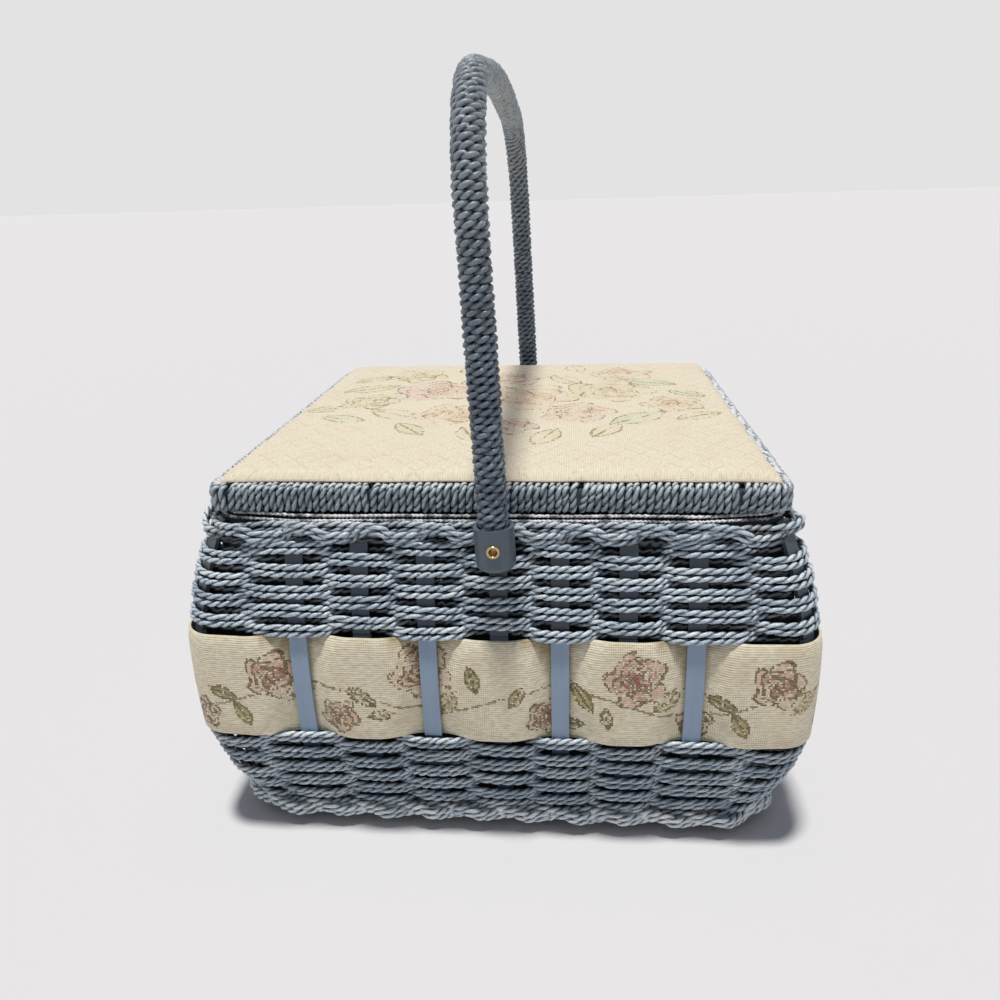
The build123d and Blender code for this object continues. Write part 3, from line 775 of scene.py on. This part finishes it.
def woven_ground(add, place, light, dark, along, tea, aged):
    """Ribbed cloth with ribs along X or Y: its colour, and the height of its ribs.

    Patches of it have aged towards the tea colour.
    """
    axes = add(AXES, [place]).outputs
    across, other = (axes["Y"], axes["X"]) if along == "X" else (axes["X"], axes["Y"])
    phase = add(MATH, [across, 2 * math.pi / RIB], "MULTIPLY")
    ridge = add(MATH, [phase], "SINE")
    weft = add(MATH, [other, 2 * math.pi / (RIB * 0.9)], "MULTIPLY")
    picked = add(MATH, [weft], "SINE")
    zone = add(NOISE, [place, 1 / 60])
    dotted = add(RANGE, [zone, 0.5, 0.56])
    dots = add(MATH, [picked, dotted], "MULTIPLY")
    relief = add(MATH, [dots, 0.8, ridge], "MULTIPLY_ADD")
    along_rib = (0.35, 1.0, 1.0) if along == "X" else (1.0, 0.35, 1.0)
    drawn = add(VECTOR, [place, along_rib], "MULTIPLY")
    yarn = add(NOISE, [drawn, 0.9, 4.0, 0.65])
    tone = add(MATH, [relief, 0.13, yarn], "MULTIPLY_ADD")
    shade = add(RANGE, [tone, 0.3, 0.68])
    face = add(MIX, [shade, dark, light], "RGBA")
    stain = add(NOISE, [place, 1 / 14, 3.0])
    spread = add(RANGE, [stain, 0.5, 0.75, 0.0, aged])
    return add(MIX, [spread, face, tea], "RGBA"), relief


def speckled(add, pattern, ground, place, kept, worn, chequer):
    """The pattern with single stitches of the ground through it, and paler on every other stitch.

    The share of its stitches that are gone runs from kept to worn in patches.
    """
    grain = add("ShaderNodeTexWhiteNoise", {"Vector": place}, noise_dimensions="3D")
    patch = add(NOISE, [place, 1 / 13])
    share = add(RANGE, [patch, 0.42, 0.6, kept, worn])
    gone = add(MATH, [grain, share], "LESS_THAN")
    axes = add(AXES, [place]).outputs
    both = add(MATH, [axes["X"], axes["Y"]], "ADD")
    step = add(MATH, [both, STITCH * 2], "FLOORED_MODULO")
    other = add(MATH, [step, STITCH], "LESS_THAN")
    lifted = add(MATH, [other, chequer], "MULTIPLY")
    faded = add(MATH, [gone, 0.8, lifted], "MULTIPLY_ADD", use_clamp=True)
    return add(MIX, [faded, pattern, ground], "RGBA")


BAND_PERIOD = 208.0         # of the band's pattern, in mm
BAND_ROSES = (
    (22, 11, 9.5, 10), (58, 31, 13.5, 40), (82, 10, 8.0, 200),
    (114, 30, 11.5, 0), (142, 11, 9.0, 90), (178, 32, 13.5, 25),
)
BAND_LEAVES = (
    (36, 22, 8, 55), (9, 22, 6.5, 120), (31, 7, 7, -15), (46, 13, 6, 80), (71, 22, 8.5, -40), (92, 21, 7, 20),
    (100, 11, 7.5, 60), (126, 21, 8, -35), (152, 21, 8, 35), (160, 12, 6.5, -10), (188, 17, 9, -60),
    (199, 30, 7, 75),
)
BAND_ROSE_INKS = (          # petal, heart, line
    ("#E2C3AC", "#9A5A50", "#75603C"), ("#DDB8A2", "#8C4A46", "#7A6642"), ("#E4C6AE", "#A8685A", "#705C36"),
)
BAND_LEAF_INKS = ("#B0A56C", "#6E6038"), ("#BBAA78", "#7B6A42"), ("#A09B68", "#65592F")     # blade, line
BAND_FLOWERS = (LEAF, BAND_LEAVES, BAND_LEAF_INKS), (ROSE, BAND_ROSES, BAND_ROSE_INKS)


def band_tapestry():
    """Cotton tapestry with a matt, finely ribbed face and faded roses in woven steps."""
    made, add, _ = finish("ribbed cotton tapestry", Roughness=0.92, Sheen_Weight=0.15)
    place = flat_place(add, add("ShaderNodeUVMap", uv_map="UVMap"))
    axes = add(AXES, [place]).outputs
    repeat = add(MATH, [axes["X"], BAND_PERIOD], "FLOORED_MODULO")
    stitch = stitched(add, add("ShaderNodeCombineXYZ", [repeat, axes["Y"]]))
    ground, relief = woven_ground(add, place, "#FAF2DB", "#CDC09C", "X", "#D2BD97", 0.42)
    stem = add(AXES, [stitch]).outputs
    sway = add(MATH, [stem["X"], 4 * math.pi / BAND_PERIOD], "MULTIPLY")
    bow = add(MATH, [sway], "SINE")
    line = add(MATH, [bow, 6.0, 20.0], "MULTIPLY_ADD")
    stalk = add(MATH, [line, stem["Y"], 0.6], "COMPARE")
    stalked = add(MIX, [stalk, ground, "#8E7C56"], "RGBA")
    pattern = flowers(add, stalked, stitch, BAND_FLOWERS)
    worn = speckled(add, pattern, ground, stitch, 0.08, 0.45, 0.2)
    # painted shadow of the cords above on the cloth beside the stakes, from the tucked share
    tucked = add("ShaderNodeAttribute", attribute_name="tucked").outputs["Fac"]
    with_painted_shadow = add(MIX, [tucked, worn, "#C9BEAE"], "RGBA", blend_type="MULTIPLY")
    return faced(made, add, with_painted_shadow, relief, 0.5, 0.12)


LID_ROSES = (
    (6, 18, 31, 15), (-44, 34, 26, 50), (52, 30, 27, 5), (-28, -20, 22, 30), (34, -18, 21, 70),
    (-78, 8, 17, 0), (84, -2, 17, 35), (-4, 66, 22, 60), (-62, 74, 19, 20), (62, 74, 20, 45),
    (2, -44, 15, 10),
)
LID_LEAVES = (
    (-24, 58, 18, 120), (28, 60, 17, 60), (76, 50, 17, 20), (-84, 40, 18, 150), (-58, -20, 19, 215),
    (64, -30, 19, -40), (-16, -58, 14, 250), (20, -62, 15, -70), (94, 22, 13, 40), (-98, -8, 13, 160),
    (34, 92, 14, 80), (-32, 94, 15, 105), (-88, 66, 14, 140), (94, -26, 14, -30), (-84, -28, 14, 200),
    (-46, -48, 14, 235), (48, -52, 14, -60), (-66, 18, 14, 100),
)
LID_ROSE_INKS = (
    ("#EBD3B6", "#DDB896", "#A08565"), ("#E8CDBC", "#D6AC97", "#987B60"), ("#E6D8B0", "#D3BE8E", "#9A855C"),
)
LID_LEAF_INKS = ("#E0D8B2", "#94875C"), ("#E6D9B6", "#9C8A64"), ("#D6D8BA", "#8A8660")
LID_FLOWERS = (LEAF, LID_LEAVES, LID_LEAF_INKS), (ROSE, LID_ROSES, LID_ROSE_INKS)


def lid_tapestry():
    """Cream tapestry, finely ribbed, with a faded bouquet and a faint trellis towards its edges."""
    made, add, place = finish("cream cotton tapestry", Roughness=0.9, Sheen_Weight=0.12)
    place = flat_place(add, place)
    stitch = stitched(add, place)
    ground, relief = woven_ground(add, place, "#F6EDD7", "#E2D4B5", "Y", "#EBCFB4", 0.35)
    axes = add(AXES, [stitch]).outputs
    bars = []
    for sign in (1.0, -1.0):
        slant = add(MATH, [axes["Y"], sign * 0.8, axes["X"]], "MULTIPLY_ADD")
        cell = add(MATH, [slant, 11.0], "FLOORED_MODULO")
        bars.append(add(MATH, [cell, 1.1], "LESS_THAN"))
    trellis = add(MATH, bars, "MAXIMUM")
    reach = add(AXES, [add(VECTOR, [place], "ABSOLUTE")]).outputs
    edge = add(MATH, [reach["X"], reach["Y"]], "MAXIMUM")
    near = add(RANGE, [edge, 50.0, 85.0, 0.0, 0.4])
    faint = add(MATH, [trellis, near], "MULTIPLY")
    laid = add(MIX, [faint, ground, "#CDB393"], "RGBA")
    pattern = flowers(add, laid, stitch, LID_FLOWERS)
    worn = speckled(add, pattern, ground, stitch, 0.2, 0.95, 0.12)
    return faced(made, add, worn, relief, 0.4, 0.1)


def satin():
    """Acetate satin lining: pale, with a soft lengthwise sheen and a very fine thread."""
    made, add, place = finish("acetate satin", Roughness=0.38, Sheen_Weight=0.3, Sheen_Roughness=0.4)
    _, face = mottled(add, place, 30, 3.0, "#BCC6CF", "#D9DFE4")
    wave = {"Vector": place, "Scale": 1 / (1.4 * MM), "Distortion": 0.6}
    thread = add("ShaderNodeTexWave", wave, bands_direction="Z").outputs["Fac"]
    return faced(made, add, face, thread, 0.2, 0.05)


def backing():
    """A black sheet on the lining's outer face: painted shade, so that the gaps between the cords show dark.
    """
    made, add, place = finish("black sheet painted as shade", Roughness=0.95)
    return faced(made, add, mottled(add, place, 1.5, 3.0, "#14171A", "#24282C")[1])


def grey_board():
    """Pulp board: matt grey-brown with flecks of fibre."""
    made, add, place = finish("grey pulp board", Roughness=0.95)
    return faced(made, add, mottled(add, place, 1.5, 6.0, "#8C8170", "#B5AA96")[1])


def plastic(name, light, dark, roughness, ripple, drawn=False):
    """Moulded polypropylene: nearly even colour, a soft gloss and a slight surface ripple.

    Drawn strip is streaked along its length, and painted dark as shade everywhere but beside the band.
    """
    made, add, place = finish(name, Roughness=roughness, IOR=1.49)
    grain = (1, 1, 0.06) if drawn else (1, 1, 1)
    streaks = add("ShaderNodeMapping", {"Vector": place, "Scale": grain})
    cloud, face = mottled(add, streaks, 3, 2.0, dark, light)
    if drawn:
        # painted shade: darker #3C4753 everywhere but beside the band, on the feet too
        height = add(AXES, [place]).outputs["Z"]
        beside_band = add(MATH, [height, (BAND_Z + BAND_H / 2) * MM, (BAND_H / 2 + 0.5) * MM], "COMPARE")
        face = add(MIX, [beside_band, "#3C4753", face], "RGBA")
    return faced(made, add, face, cloud, 0.3, ripple)


def metal(name, tint, wear, roughness):
    """Pressed metal: small changes of gloss where it was handled, and a darker tint in patches."""
    made, add, place = finish(name, Metallic=1.0)
    patch, face = mottled(add, place, 1.2, 4.0, tint, wear)
    return faced(made, add, face, Roughness=add(RANGE, [patch, 0.0, 1.0, roughness * 0.7, roughness * 1.4]))


# painted highlight: the lid's cord turns near white over the top of its edge
TOP_HIGHLIGHT_FROM, TOP_HIGHLIGHT_OVER = (LID_TOP - 1.7) * MM, 1.5 * MM
PAPER_CORD = paper_cord("twisted paper cord", ("#7C8C98", "#B2C2CE", "#EBF3F7"))
# painted light: the foot border's cord is a paler copy of the same paper cord, standing in for light falling
# on it
FOOT_CORD_PAINTED_LIGHT = paper_cord("paper cord of the foot border, painted paler as light", ("#A3B3BD", "#D8E4EA", "#FCFEFF"))
EDGE_CORD = paper_cord(
    "twisted paper cord of the lid", ("#788893", "#A0B0B9", "#D6E0E5"), 0.36, TOP_HIGHLIGHT_FROM, TOP_HIGHLIGHT_OVER, "#FFFDFE"
)
HANDLE_CORD = paper_cord("twisted paper cord of the handle", ("#3F4A56", "#63717F", "#9CA8B3"), 0.42, 0.22)
RIM_CORD = rim_cord()
BAND_TAPESTRY = band_tapestry()
LID_TAPESTRY = lid_tapestry()
SATIN = satin()
SHADE_BACKING = backing()
STAKE_STRIP = plastic("drawn polypropylene strip", "#99ADC3", "#869BB2", 0.34, 0.04, drawn=True)
CUP_PLASTIC = plastic("moulded polypropylene", "#58656F", "#4C5963", 0.3, 0.05)
FRAME_PLASTIC = plastic("moulded frame polypropylene", "#414C56", "#36414B", 0.5, 0.08)
TRAY_PLASTIC = plastic("moulded polystyrene", "#D5DEE5", "#C6D1DA", 0.22, 0.04)
BOARD = grey_board()
BRASS = metal("lacquered brass", "#D8C6A0", "#A08458", 0.24)
STEEL = metal("plated steel", "#B9B9B4", "#8F8F8C", 0.3)


def build_cords():
    """Every cord of the basket, lid and handle."""
    upper = UPPER_Z + UPPER_PITCH / 2, UPPER_PITCH
    lower = LOWER_TOP - LOWER_PITCH / 2, -LOWER_PITCH
    cords("upper_weave_low", weave_routes(range(0, 5), *upper), PAPER_CORD, "basket", ["upper_weave"])
    cords("upper_weave_high", weave_routes(range(5, UPPER_ROWS), *upper), PAPER_CORD, "basket")
    cords("lower_weave_high", weave_routes(range(0, 5), *lower), PAPER_CORD, "basket", ["lower_weave"])
    cords("lower_weave_low", weave_routes(range(5, LOWER_ROWS), *lower), PAPER_CORD, "basket")
    top = plait_routes(TOP_PLAIT_Z, TOP_PLAIT_H, TOP_PLAIT_PERIOD, TOP_PLAIT_OUT, PLAIT_CORD, under_lid=True)
    cords("top_plait", top, PAPER_CORD, "basket", ["top_braid"], PLAIT_CORD, front=TOP_PLAIT_FRONT)
    base = plait_routes(BASE_PLAIT_Z, BASE_PLAIT_H, BASE_PLAIT_PERIOD, BASE_PLAIT_OUT, FOOT_PLAIT_CORD)
    cords("base_plait", base, FOOT_CORD_PAINTED_LIGHT, "basket", ["base_braid"], FOOT_PLAIT_CORD, front=BASE_PLAIT_FRONT)
    for side, name in enumerate(("front", "right", "back", "left")):
        stands_for = ["lid_cord_edge"] if side == 0 else []
        edge = [lid_edge_route(side)], EDGE_CORD, "lid", stands_for, WRAP_CORD, WRAP_LAY
        cords(f"lid_edge_{name}", *edge, groove=WRAP_GROOVE, uneven=WRAP_UNEVEN)
    handle = [handle_route()], HANDLE_CORD, "handle", ["handle_wrap"], HANDLE_CORD_D, HANDLE_LAY
    cords("handle_winding", *handle, groove=HANDLE_GROOVE, uneven=HANDLE_UNEVEN)
    rim = rim_routes(), RIM_CORD, "basket", ["rim_cords"], RIM_CORD_FULL, RIM_CORD_LAY
    cords("rim_cord_pair", *rim, step=RIM_CORD_STEP, groove=RIM_CORD_GROOVE, front=RIM_CORD_FRONT)


# ---------------------------------------------------------------- cloth, padding and fittings

def ring_mesh(name, rows, lengths, material):
    """A closed tube of quads: rows is (places round the basket, section points, 3) in mm.

    Its UV map holds real lengths in metres, round the basket and round the section.
    """
    count, across = rows.shape[:2]
    i, j = np.meshgrid(np.arange(count), np.arange(across), indexing="ij")
    i2, j2 = (i + 1) % count, (j + 1) % across
    faces = np.stack([i * across + j, i2 * across + j, i2 * across + j2, i * across + j2], -1).reshape(-1, 4)
    mesh = smooth_mesh(name, rows, faces, material)
    section = np.linalg.norm(np.diff(rows[0], axis=0, append=rows[0][:1]), axis=1)
    v = np.concatenate([[0], np.cumsum(section)])
    corners = np.stack([(i, j), (i + 1, j), (i + 1, j + 1), (i, j + 1)], 0)
    uv = np.stack([lengths[corners[:, 0]], v[corners[:, 1]]], -1)
    uv = np.moveaxis(uv, 0, 2).reshape(-1, 2)
    mesh.uv_layers.new(name="UVMap").data.foreach_set("uv", (uv * MM).ravel())
    mesh.update()
    return show(name, mesh)


def soft_edged(width, thick, levels=10):
    """A flat section with rounded ends: (height 0..width, depth) up the outer face and down the inner."""
    r = thick / 2
    rise = np.linspace(r, width - r, levels)
    cap = np.linspace(0, math.pi, 5)[1:-1]
    outer = [(h, r) for h in rise]
    top = [(width - r + r * math.sin(a), r * math.cos(a)) for a in cap]
    inner = [(h, -r) for h in rise[::-1]]
    bottom = [(r - r * math.sin(a), -r * math.cos(a)) for a in cap]
    return np.array(outer + top + inner + bottom)


def tapestry_band():
    """The band, woven behind every other stake and bulging between them.

    It draws in beside the stakes before it, and the cloth there is painted darker as the shadow
    of the cords above, in rounded shoulders.
    """
    crest = BELLY_HALF + STAKE_T / 2 + BAND_THICK / 2 + BAND_SWELL
    back = mid_half(BAND_Z) - STAKE_T / 2 - BAND_THICK / 2 - 0.1
    points, normals, s, quarter = rounded_square(crest, CORNER_R + STAKE_T / 2 + BAND_THICK / 2, 1.3)
    total = 4 * quarter
    from_stakes = s[:, None] - stake_marks(quarter)[None, ::2]
    from_stake = from_stakes[np.arange(len(s)), np.abs(from_stakes).argmin(axis=1)][:, None]
    gap = np.abs(from_stake)
    section = soft_edged(BAND_H - 0.4, BAND_THICK)
    depth, share = section[None, :, 1], section[None, :, 0] / BAND_H
    from_middle = 2 * share - 1
    pinch = 1 - eased(np.clip((gap - 3.0) / (10.0 + 10.0 * from_middle**2), 0, 1))
    bowed = np.sin(math.pi * share)
    belly = 0.7 * bowed * (1 - pinch) + 1.35 * bowed * pinch
    belly = belly - 1.5 * eased(near_corner(s, quarter, 34.0))[:, None]
    belly = belly - 1.1 * np.clip((share - 0.93) / 0.07, 0, 1) ** 2
    out = depth + belly - (crest - back) * pinch + wobble(s, total, 0.2, 90)[:, None] * share
    arch = 0.7 * (1 - pinch) * from_middle - 1.1 * pinch * (1 - share)
    up = BAND_Z + 0.2 + section[None, :, 0] + arch + 0.25 * wobble(s, total, 1.0, 91)[:, None] * from_middle
    rows = np.empty((len(s), len(section), 3))
    rows[:, :, :2] = points[:, None, :] + normals[:, None, :] * out[:, :, None]
    rows[:, :, 2] = up
    lengths = np.arange(len(s) + 1) / len(s) * BAND_PERIOD * round(total / BAND_PERIOD)
    piece = ring_mesh("tapestry_ribbon", rows, lengths, BAND_TAPESTRY)
    # painted shadow: the share of cloth beside the stakes darkened as if shaded by the cords above, rounded
    # at its top corners
    curl = np.where(from_stake > 0, 9.0, 17.0)
    from_top = np.clip(1 - BAND_H * (1 - share) / curl, 0, 1)
    tucked = 1 - np.clip((gap - 3.5 - curl * (1 - np.sqrt(1 - from_top**2))) / 2.0, 0, 1)
    piece.data.attributes.new("tucked", "FLOAT", "POINT").data.foreach_set("value", tucked.ravel())
    dress(piece, "basket", "band_tapestry", "tapestry_band")


def wall_lining():
    """Satin against the weave, gathered in soft upright folds, with a turned hem at its top."""
    z0, z1, thick = 11.2, 141.9, 0.9
    inset = STAKE_T / 2 + CORD_D + LINING_GAP
    levels = 26
    section = soft_edged(z1 - z0, thick, levels)
    _, _, s, quarter = rounded_square(LINING_HALF, 12.0, 2.0)
    total = 4 * quarter
    folds = np.sin(2 * math.pi * round(total / 11.0) * s / total + 1.5 * wobble(s, total, 1.0, 95))
    rows = np.empty((len(s), len(section), 3))
    for j, (height, depth) in enumerate(section):
        z = z0 + height
        half, radius = mid_half(z) - inset, max(mid_corner(z) - inset, 4.0)
        step = 4 * quarter / len(s) * (half / LINING_HALF)
        points, out, ring_s, ring_quarter = rounded_square(half, radius, step)
        spot = np.interp(s / quarter, ring_s / ring_quarter, np.arange(len(ring_s)), period=4)
        low = np.floor(spot).astype(int) % len(ring_s)
        high, part = (low + 1) % len(ring_s), (spot % 1)[:, None]
        place = points[low] * (1 - part) + points[high] * part
        way = out[low] * (1 - part) + out[high] * part
        hem = min(1.0, (z1 - z) / 12)
        off = depth - thick / 2 - 0.35 * (1 + folds) * hem
        rows[:, j, :2] = place + way * off[:, None]
        rows[:, j, 2] = z
    lengths = np.arange(len(s) + 1) / len(s) * total
    piece = ring_mesh("satin_wall_lining", rows, lengths, SATIN)
    # painted shade: the lining's outer faces take the black sheet, so the gaps in the weave look dark
    piece.data.materials.append(SHADE_BACKING)
    painted_shade_faces = np.arange(len(section)) < levels + 1
    piece.data.polygons.foreach_set("material_index", np.tile(painted_shade_faces, len(s)).astype(np.int32))
    dress(piece, "basket", "lining_cloth", "lining")


def pad_mesh(name, half, radius, faces_z, puff, material):
    """A thin pad with rounded corners: a grid of quads on each face, joined round the edge."""
    z_show, z_back = faces_z
    sign = 1 if z_show > z_back else -1
    steps = 120
    line = np.linspace(-half, half, steps + 1)
    x, y = np.meshgrid(line, line, indexing="ij")
    to_edge = 1 - np.maximum(np.abs(x), np.abs(y)) / half
    over_x, over_y = np.abs(x) - (half - radius), np.abs(y) - (half - radius)
    pull = np.maximum(over_x, over_y) / np.maximum(np.hypot(over_x, over_y), 1e-9) - 1
    pull = np.where((over_x > 0) & (over_y > 0), pull, 0.0)
    x, y = x + np.sign(x) * over_x * pull, y + np.sign(y) * over_y * pull
    lift = puff(x, y) * np.minimum(1, to_edge * 14) - abs(z_show - z_back) / 2 * (to_edge < 1e-6)
    front = np.stack([x, y, z_show + sign * lift], -1).reshape(-1, 3)
    back = np.stack([x, y, np.full_like(x, z_back)], -1).reshape(-1, 3)
    index = np.arange((steps + 1) ** 2).reshape(steps + 1, steps + 1)
    quads = np.stack([index[:-1, :-1], index[1:, :-1], index[1:, 1:], index[:-1, 1:]], -1).reshape(-1, 4)
    rim = np.concatenate([index[:-1, 0], index[-1, :-1], index[:0:-1, -1], index[0, :0:-1]])
    behind = rim + len(front)
    edge = np.stack([rim, behind, np.roll(behind, -1), np.roll(rim, -1)], -1)
    quads = np.concatenate([quads, quads[:, ::-1] + len(front), edge])
    if sign < 0:
        quads = quads[:, ::-1]
    return show(name, smooth_mesh(name, np.concatenate([front, back]), quads, material))


def quilted(pitch, height):
    """The function that gives the height of diamond quilting at a place."""

    def puff(x, y):
        a, b = np.cos(math.pi * (x + y) / pitch), np.cos(math.pi * (x - y) / pitch)
        return height * np.sqrt(np.abs(a * b))

    return puff


def linings():
    """The quilted satin in the lid and on the floor."""
    half = mid_half(FLOOR_Z) - (STAKE_T / 2 + CORD_D + LINING_GAP + 0.4)
    faces = FLOOR_Z + FLOOR_PAD_T, FLOOR_Z + 0.05
    floor = pad_mesh("quilted_floor_pad", half, 20.0, faces, quilted(26.0, 1.6), SATIN)
    dress(floor, "basket", "lining_cloth", "floor_pad")
    half = LID_HALF - CORD_D - HOOP_W - 1.2
    faces = LID_BOARD_Z - LID_LINING_T, LID_BOARD_Z - 0.05
    lid = pad_mesh("quilted_lid_lining", half, 5.0, faces, quilted(30.0, 1.7), SATIN)
    dress(lid, "lid", "lining_cloth", "lid_lining")


def swollen(mesh, voxel, cap):
    """A solid mesh remeshed, blown up a little as cloth, with no point moved further than cap."""
    piece = show("swelling", mesh)
    remesh = piece.modifiers.new("even faces", "REMESH")
    remesh.mode = "VOXEL"
    remesh.voxel_size = voxel * MM
    even = evaluated(piece)
    piece = show("swelling", even)
    cloth = piece.modifiers.new("cloth", "CLOTH")
    cloth.settings.use_pressure = True
    cloth.settings.uniform_pressure_force = 4
    cloth.settings.effector_weights.gravity = 0
    scene = bpy.context.scene
    for step in range(1, 21):
        scene.frame_set(step)
    blown = evaluated(piece)
    scene.frame_set(1)
    before = np.array([v.co for v in even.vertices])
    moved = np.array([v.co for v in blown.vertices]) - before
    size = np.linalg.norm(moved, axis=1)[:, None]
    after = before + moved * np.minimum(1, cap * MM / np.maximum(size, 1e-9))
    blown.vertices.foreach_set("co", after.ravel())
    return blown


def lid_cover():
    """Tapestry drawn over the lid's foam, crowned, its soft edge rounding down onto the wound cord."""
    foam = cad["lid_foam"].data.copy()
    weld(foam, 0.01)
    mesh = swollen(foam, 3.0, 1.2)
    co = np.array([v.co for v in mesh.vertices]) / MM
    over_cord = np.clip((co[:, 2] - LID_TOP + 0.3) / 1.2, 0, 1)[:, None]
    co[:, :2] *= 1 + (LID_PAD_HALF / np.abs(co[:, :2]).max() - 1) * over_cord
    reach = np.abs(co[:, :2])
    share = np.clip(np.max(reach, axis=1) / LID_PAD_HALF, 0, 1)
    upper = co[:, 2] > LID_TOP + 1.2
    rounded = np.clip((share - 1 + LID_PAD_OUTER) / LID_PAD_OUTER, 0, 1) ** 2
    crown = 0.9 * (1 - share**2.5) - 1.9 * rounded
    co[:, 2] = np.where(upper, np.minimum(co[:, 2] + crown, LID_TOP + LID_CROWN + 0.6), co[:, 2])
    co[:, 2] -= 0.9 * rounded
    corner = np.clip((reach.min(axis=1) - LID_PAD_HALF + 7) / 7, 0, 1)[:, None]
    co[:, :2] += np.sign(co[:, :2]) * 0.3 * corner**2
    co[:, 2] -= 1.1 * corner[:, 0] ** 2 * upper
    slack = 0.45 * (1 + np.sin(reach.min(axis=1) / 6.5 + co[:, 0] / 17)) * np.clip((share - 0.9) / 0.1, 0, 1)
    co[:, :2] -= np.sign(co[:, :2]) * slack[:, None] * (reach >= reach.max(axis=1)[:, None])
    co[:, :2] = np.clip(co[:, :2], -LID_PAD_HALF, LID_PAD_HALF)
    mesh.vertices.foreach_set("co", (co * MM).ravel())
    mesh.materials.clear()
    mesh.materials.append(LID_TAPESTRY)
    mesh.polygons.foreach_set("use_smooth", np.ones(len(mesh.polygons), bool))
    rough = show("cover", mesh)
    finer = rough.modifiers.new("finer", "SUBSURF")
    finer.levels = finer.render_levels = 1
    piece = show("tapestry_lid_cover", evaluated(rough))
    dress(piece, "lid", "lid_tapestry", "lid_cover", "lid_foam")


def eyelet(name, side, node):
    """The tubular rivet of a pivot, its rolled brass head outside and its flare inside the rim."""
    inside, outside = 110.8, LEG_Y + 7.9
    flare = [(0.0, -0.8), (0.9, -0.8), (2.4, -0.8), (2.6, -0.4), (2.4, 0.0), (1.6, 0.0)]
    rolled = [(2.1 + 0.6 * math.cos(a), 0.05 + 0.75 * math.sin(a)) for a in np.linspace(0, math.pi, 9)]
    head = [(1.6, 0.0), *rolled, (1.25, -1.2), (1.0, -3.0), (0.0, -3.2)]
    profile = [(r, inside + y) for r, y in flare] + [(r, outside + y) for r, y in head]
    turns = 32
    angle = np.arange(turns) * 2 * math.pi / turns
    rows = np.array([[(r * math.cos(a), y, r * math.sin(a)) for a in angle] for r, y in profile])
    rows[:, :, 0] += PIVOT_X
    rows[:, :, 2] += PIVOT_Z
    if side < 0:
        rows[:, :, 1] *= -1
    k, i = np.meshgrid(np.arange(len(profile) - 1) * turns, np.arange(turns), indexing="ij")
    i2 = (i + 1) % turns
    quads = np.stack([k + i, k + i2, k + turns + i2, k + turns + i], -1).reshape(-1, 4)
    mesh = smooth_mesh(name, rows, quads, BRASS)
    weld(mesh, 0.005, outward=True)
    dress(show(name, mesh), "basket", "eyelet_brass", node)


def paint():
    """Finishes of the solids that show as they are."""
    hinge_parts = "pins", "leaves_basket", "leaves_lid", "screws_basket", "screws_lid"
    finishes = {
        STAKE_STRIP: ["stakes_front", "stakes_right", "stakes_back", "stakes_left", "corner_posts", "feet"],
        CUP_PLASTIC: ["handle_cup_front", "handle_cup_back", "pivot_spacers"],
        FRAME_PLASTIC: ["rim_frame", "lid_hoop", "tray_rail_back", "tray_rail_front", "handle_core"],
        TRAY_PLASTIC: ["tray", "tray_dividers"],
        BOARD: ["base_board", "lid_board"],
        BRASS: ["pivot_washers"],
        STEEL: [f"hinge_{part}" for part in hinge_parts],
    }
    for material, names in finishes.items():
        for name in names:
            cad[name].data.materials.clear()
            cad[name].data.materials.append(material)


build_cords()
tapestry_band()
wall_lining()
linings()
lid_cover()
eyelet("eyelet_front", -1, "pivot_pin_front")
eyelet("eyelet_back", 1, "pivot_pin_back")
paint()


# ---------------------------------------------------------------- camera, light and floor

def camera():
    """A camera turned by its yaw, pitch and roll from looking along +Y."""
    yaw, pitch, roll = (math.radians(a) for a in (CAMERA_YAW, CAMERA_PITCH, CAMERA_ROLL))
    ahead = Vector((math.sin(yaw), math.cos(yaw), 0))
    right = Vector((math.cos(yaw), -math.sin(yaw), 0))
    up = Vector((0, 0, 1))
    look = ahead * math.cos(pitch) - up * math.sin(pitch)
    top = up * math.cos(pitch) + ahead * math.sin(pitch)
    rolled = right * math.cos(roll) + top * math.sin(roll)
    head = -right * math.sin(roll) + top * math.cos(roll)
    data = bpy.data.cameras.new("camera")
    data.lens = LENS
    data.sensor_width = 36
    data.clip_start = 0.01
    made = show("camera", data)
    turn = Matrix((rolled, head, -look)).transposed()
    made.matrix_world = Matrix.Translation(Vector(CAMERA_PLACE) * MM) @ turn.to_4x4()
    bpy.context.scene.camera = made


def sun(name, way, strength, angle):
    """A soft distant lamp that shines along way."""
    data = bpy.data.lights.new(name, "SUN")
    data.energy = strength
    data.color = LAMP_COLOUR
    data.angle = math.radians(angle)
    show(name, data).matrix_world = Vector(way).to_track_quat("-Z", "Y").to_matrix().to_4x4()


def surroundings():
    """A pale floor, one lamp nearly overhead, and an even pale world that fills the shadows with blue."""
    made, add, _ = finish("pale matt table", Roughness=0.85)
    faced(made, add, "#E3E1E1")
    corners = [(-40, -40, 0), (40, -40, 0), (40, 40, 0), (-40, 40, 0)]
    mesh = bpy.data.meshes.new("floor")
    mesh.from_pydata(corners, [], [(0, 1, 2, 3)])
    mesh.materials.append(made)
    show("floor", mesh)
    world = bpy.data.worlds.new("room")
    bpy.context.scene.world = world
    world.use_nodes = True
    world.node_tree.nodes.clear()
    add = adder(world.node_tree)
    rays = add("ShaderNodeLightPath").outputs
    direct = add(MATH, [rays["Is Camera Ray"], rays["Is Glossy Ray"]], "MAXIMUM")
    seen = add(MATH, [direct, rays["Is Transmission Ray"]], "MAXIMUM")
    level = add(RANGE, [seen, 0.0, 1.0, ROOM_LIGHT, 1.0])
    tint = add(MIX, [seen, "#D6DBEC", "#E4E3E3"], "RGBA")
    add("ShaderNodeOutputWorld", {"Surface": add("ShaderNodeBackground", {"Color": tint, "Strength": level})})
    sun("key lamp", LAMP_WAY, LAMP_STRENGTH, LAMP_ANGLE)
    bpy.context.scene.view_settings.view_transform = "Standard"


camera()
surroundings()
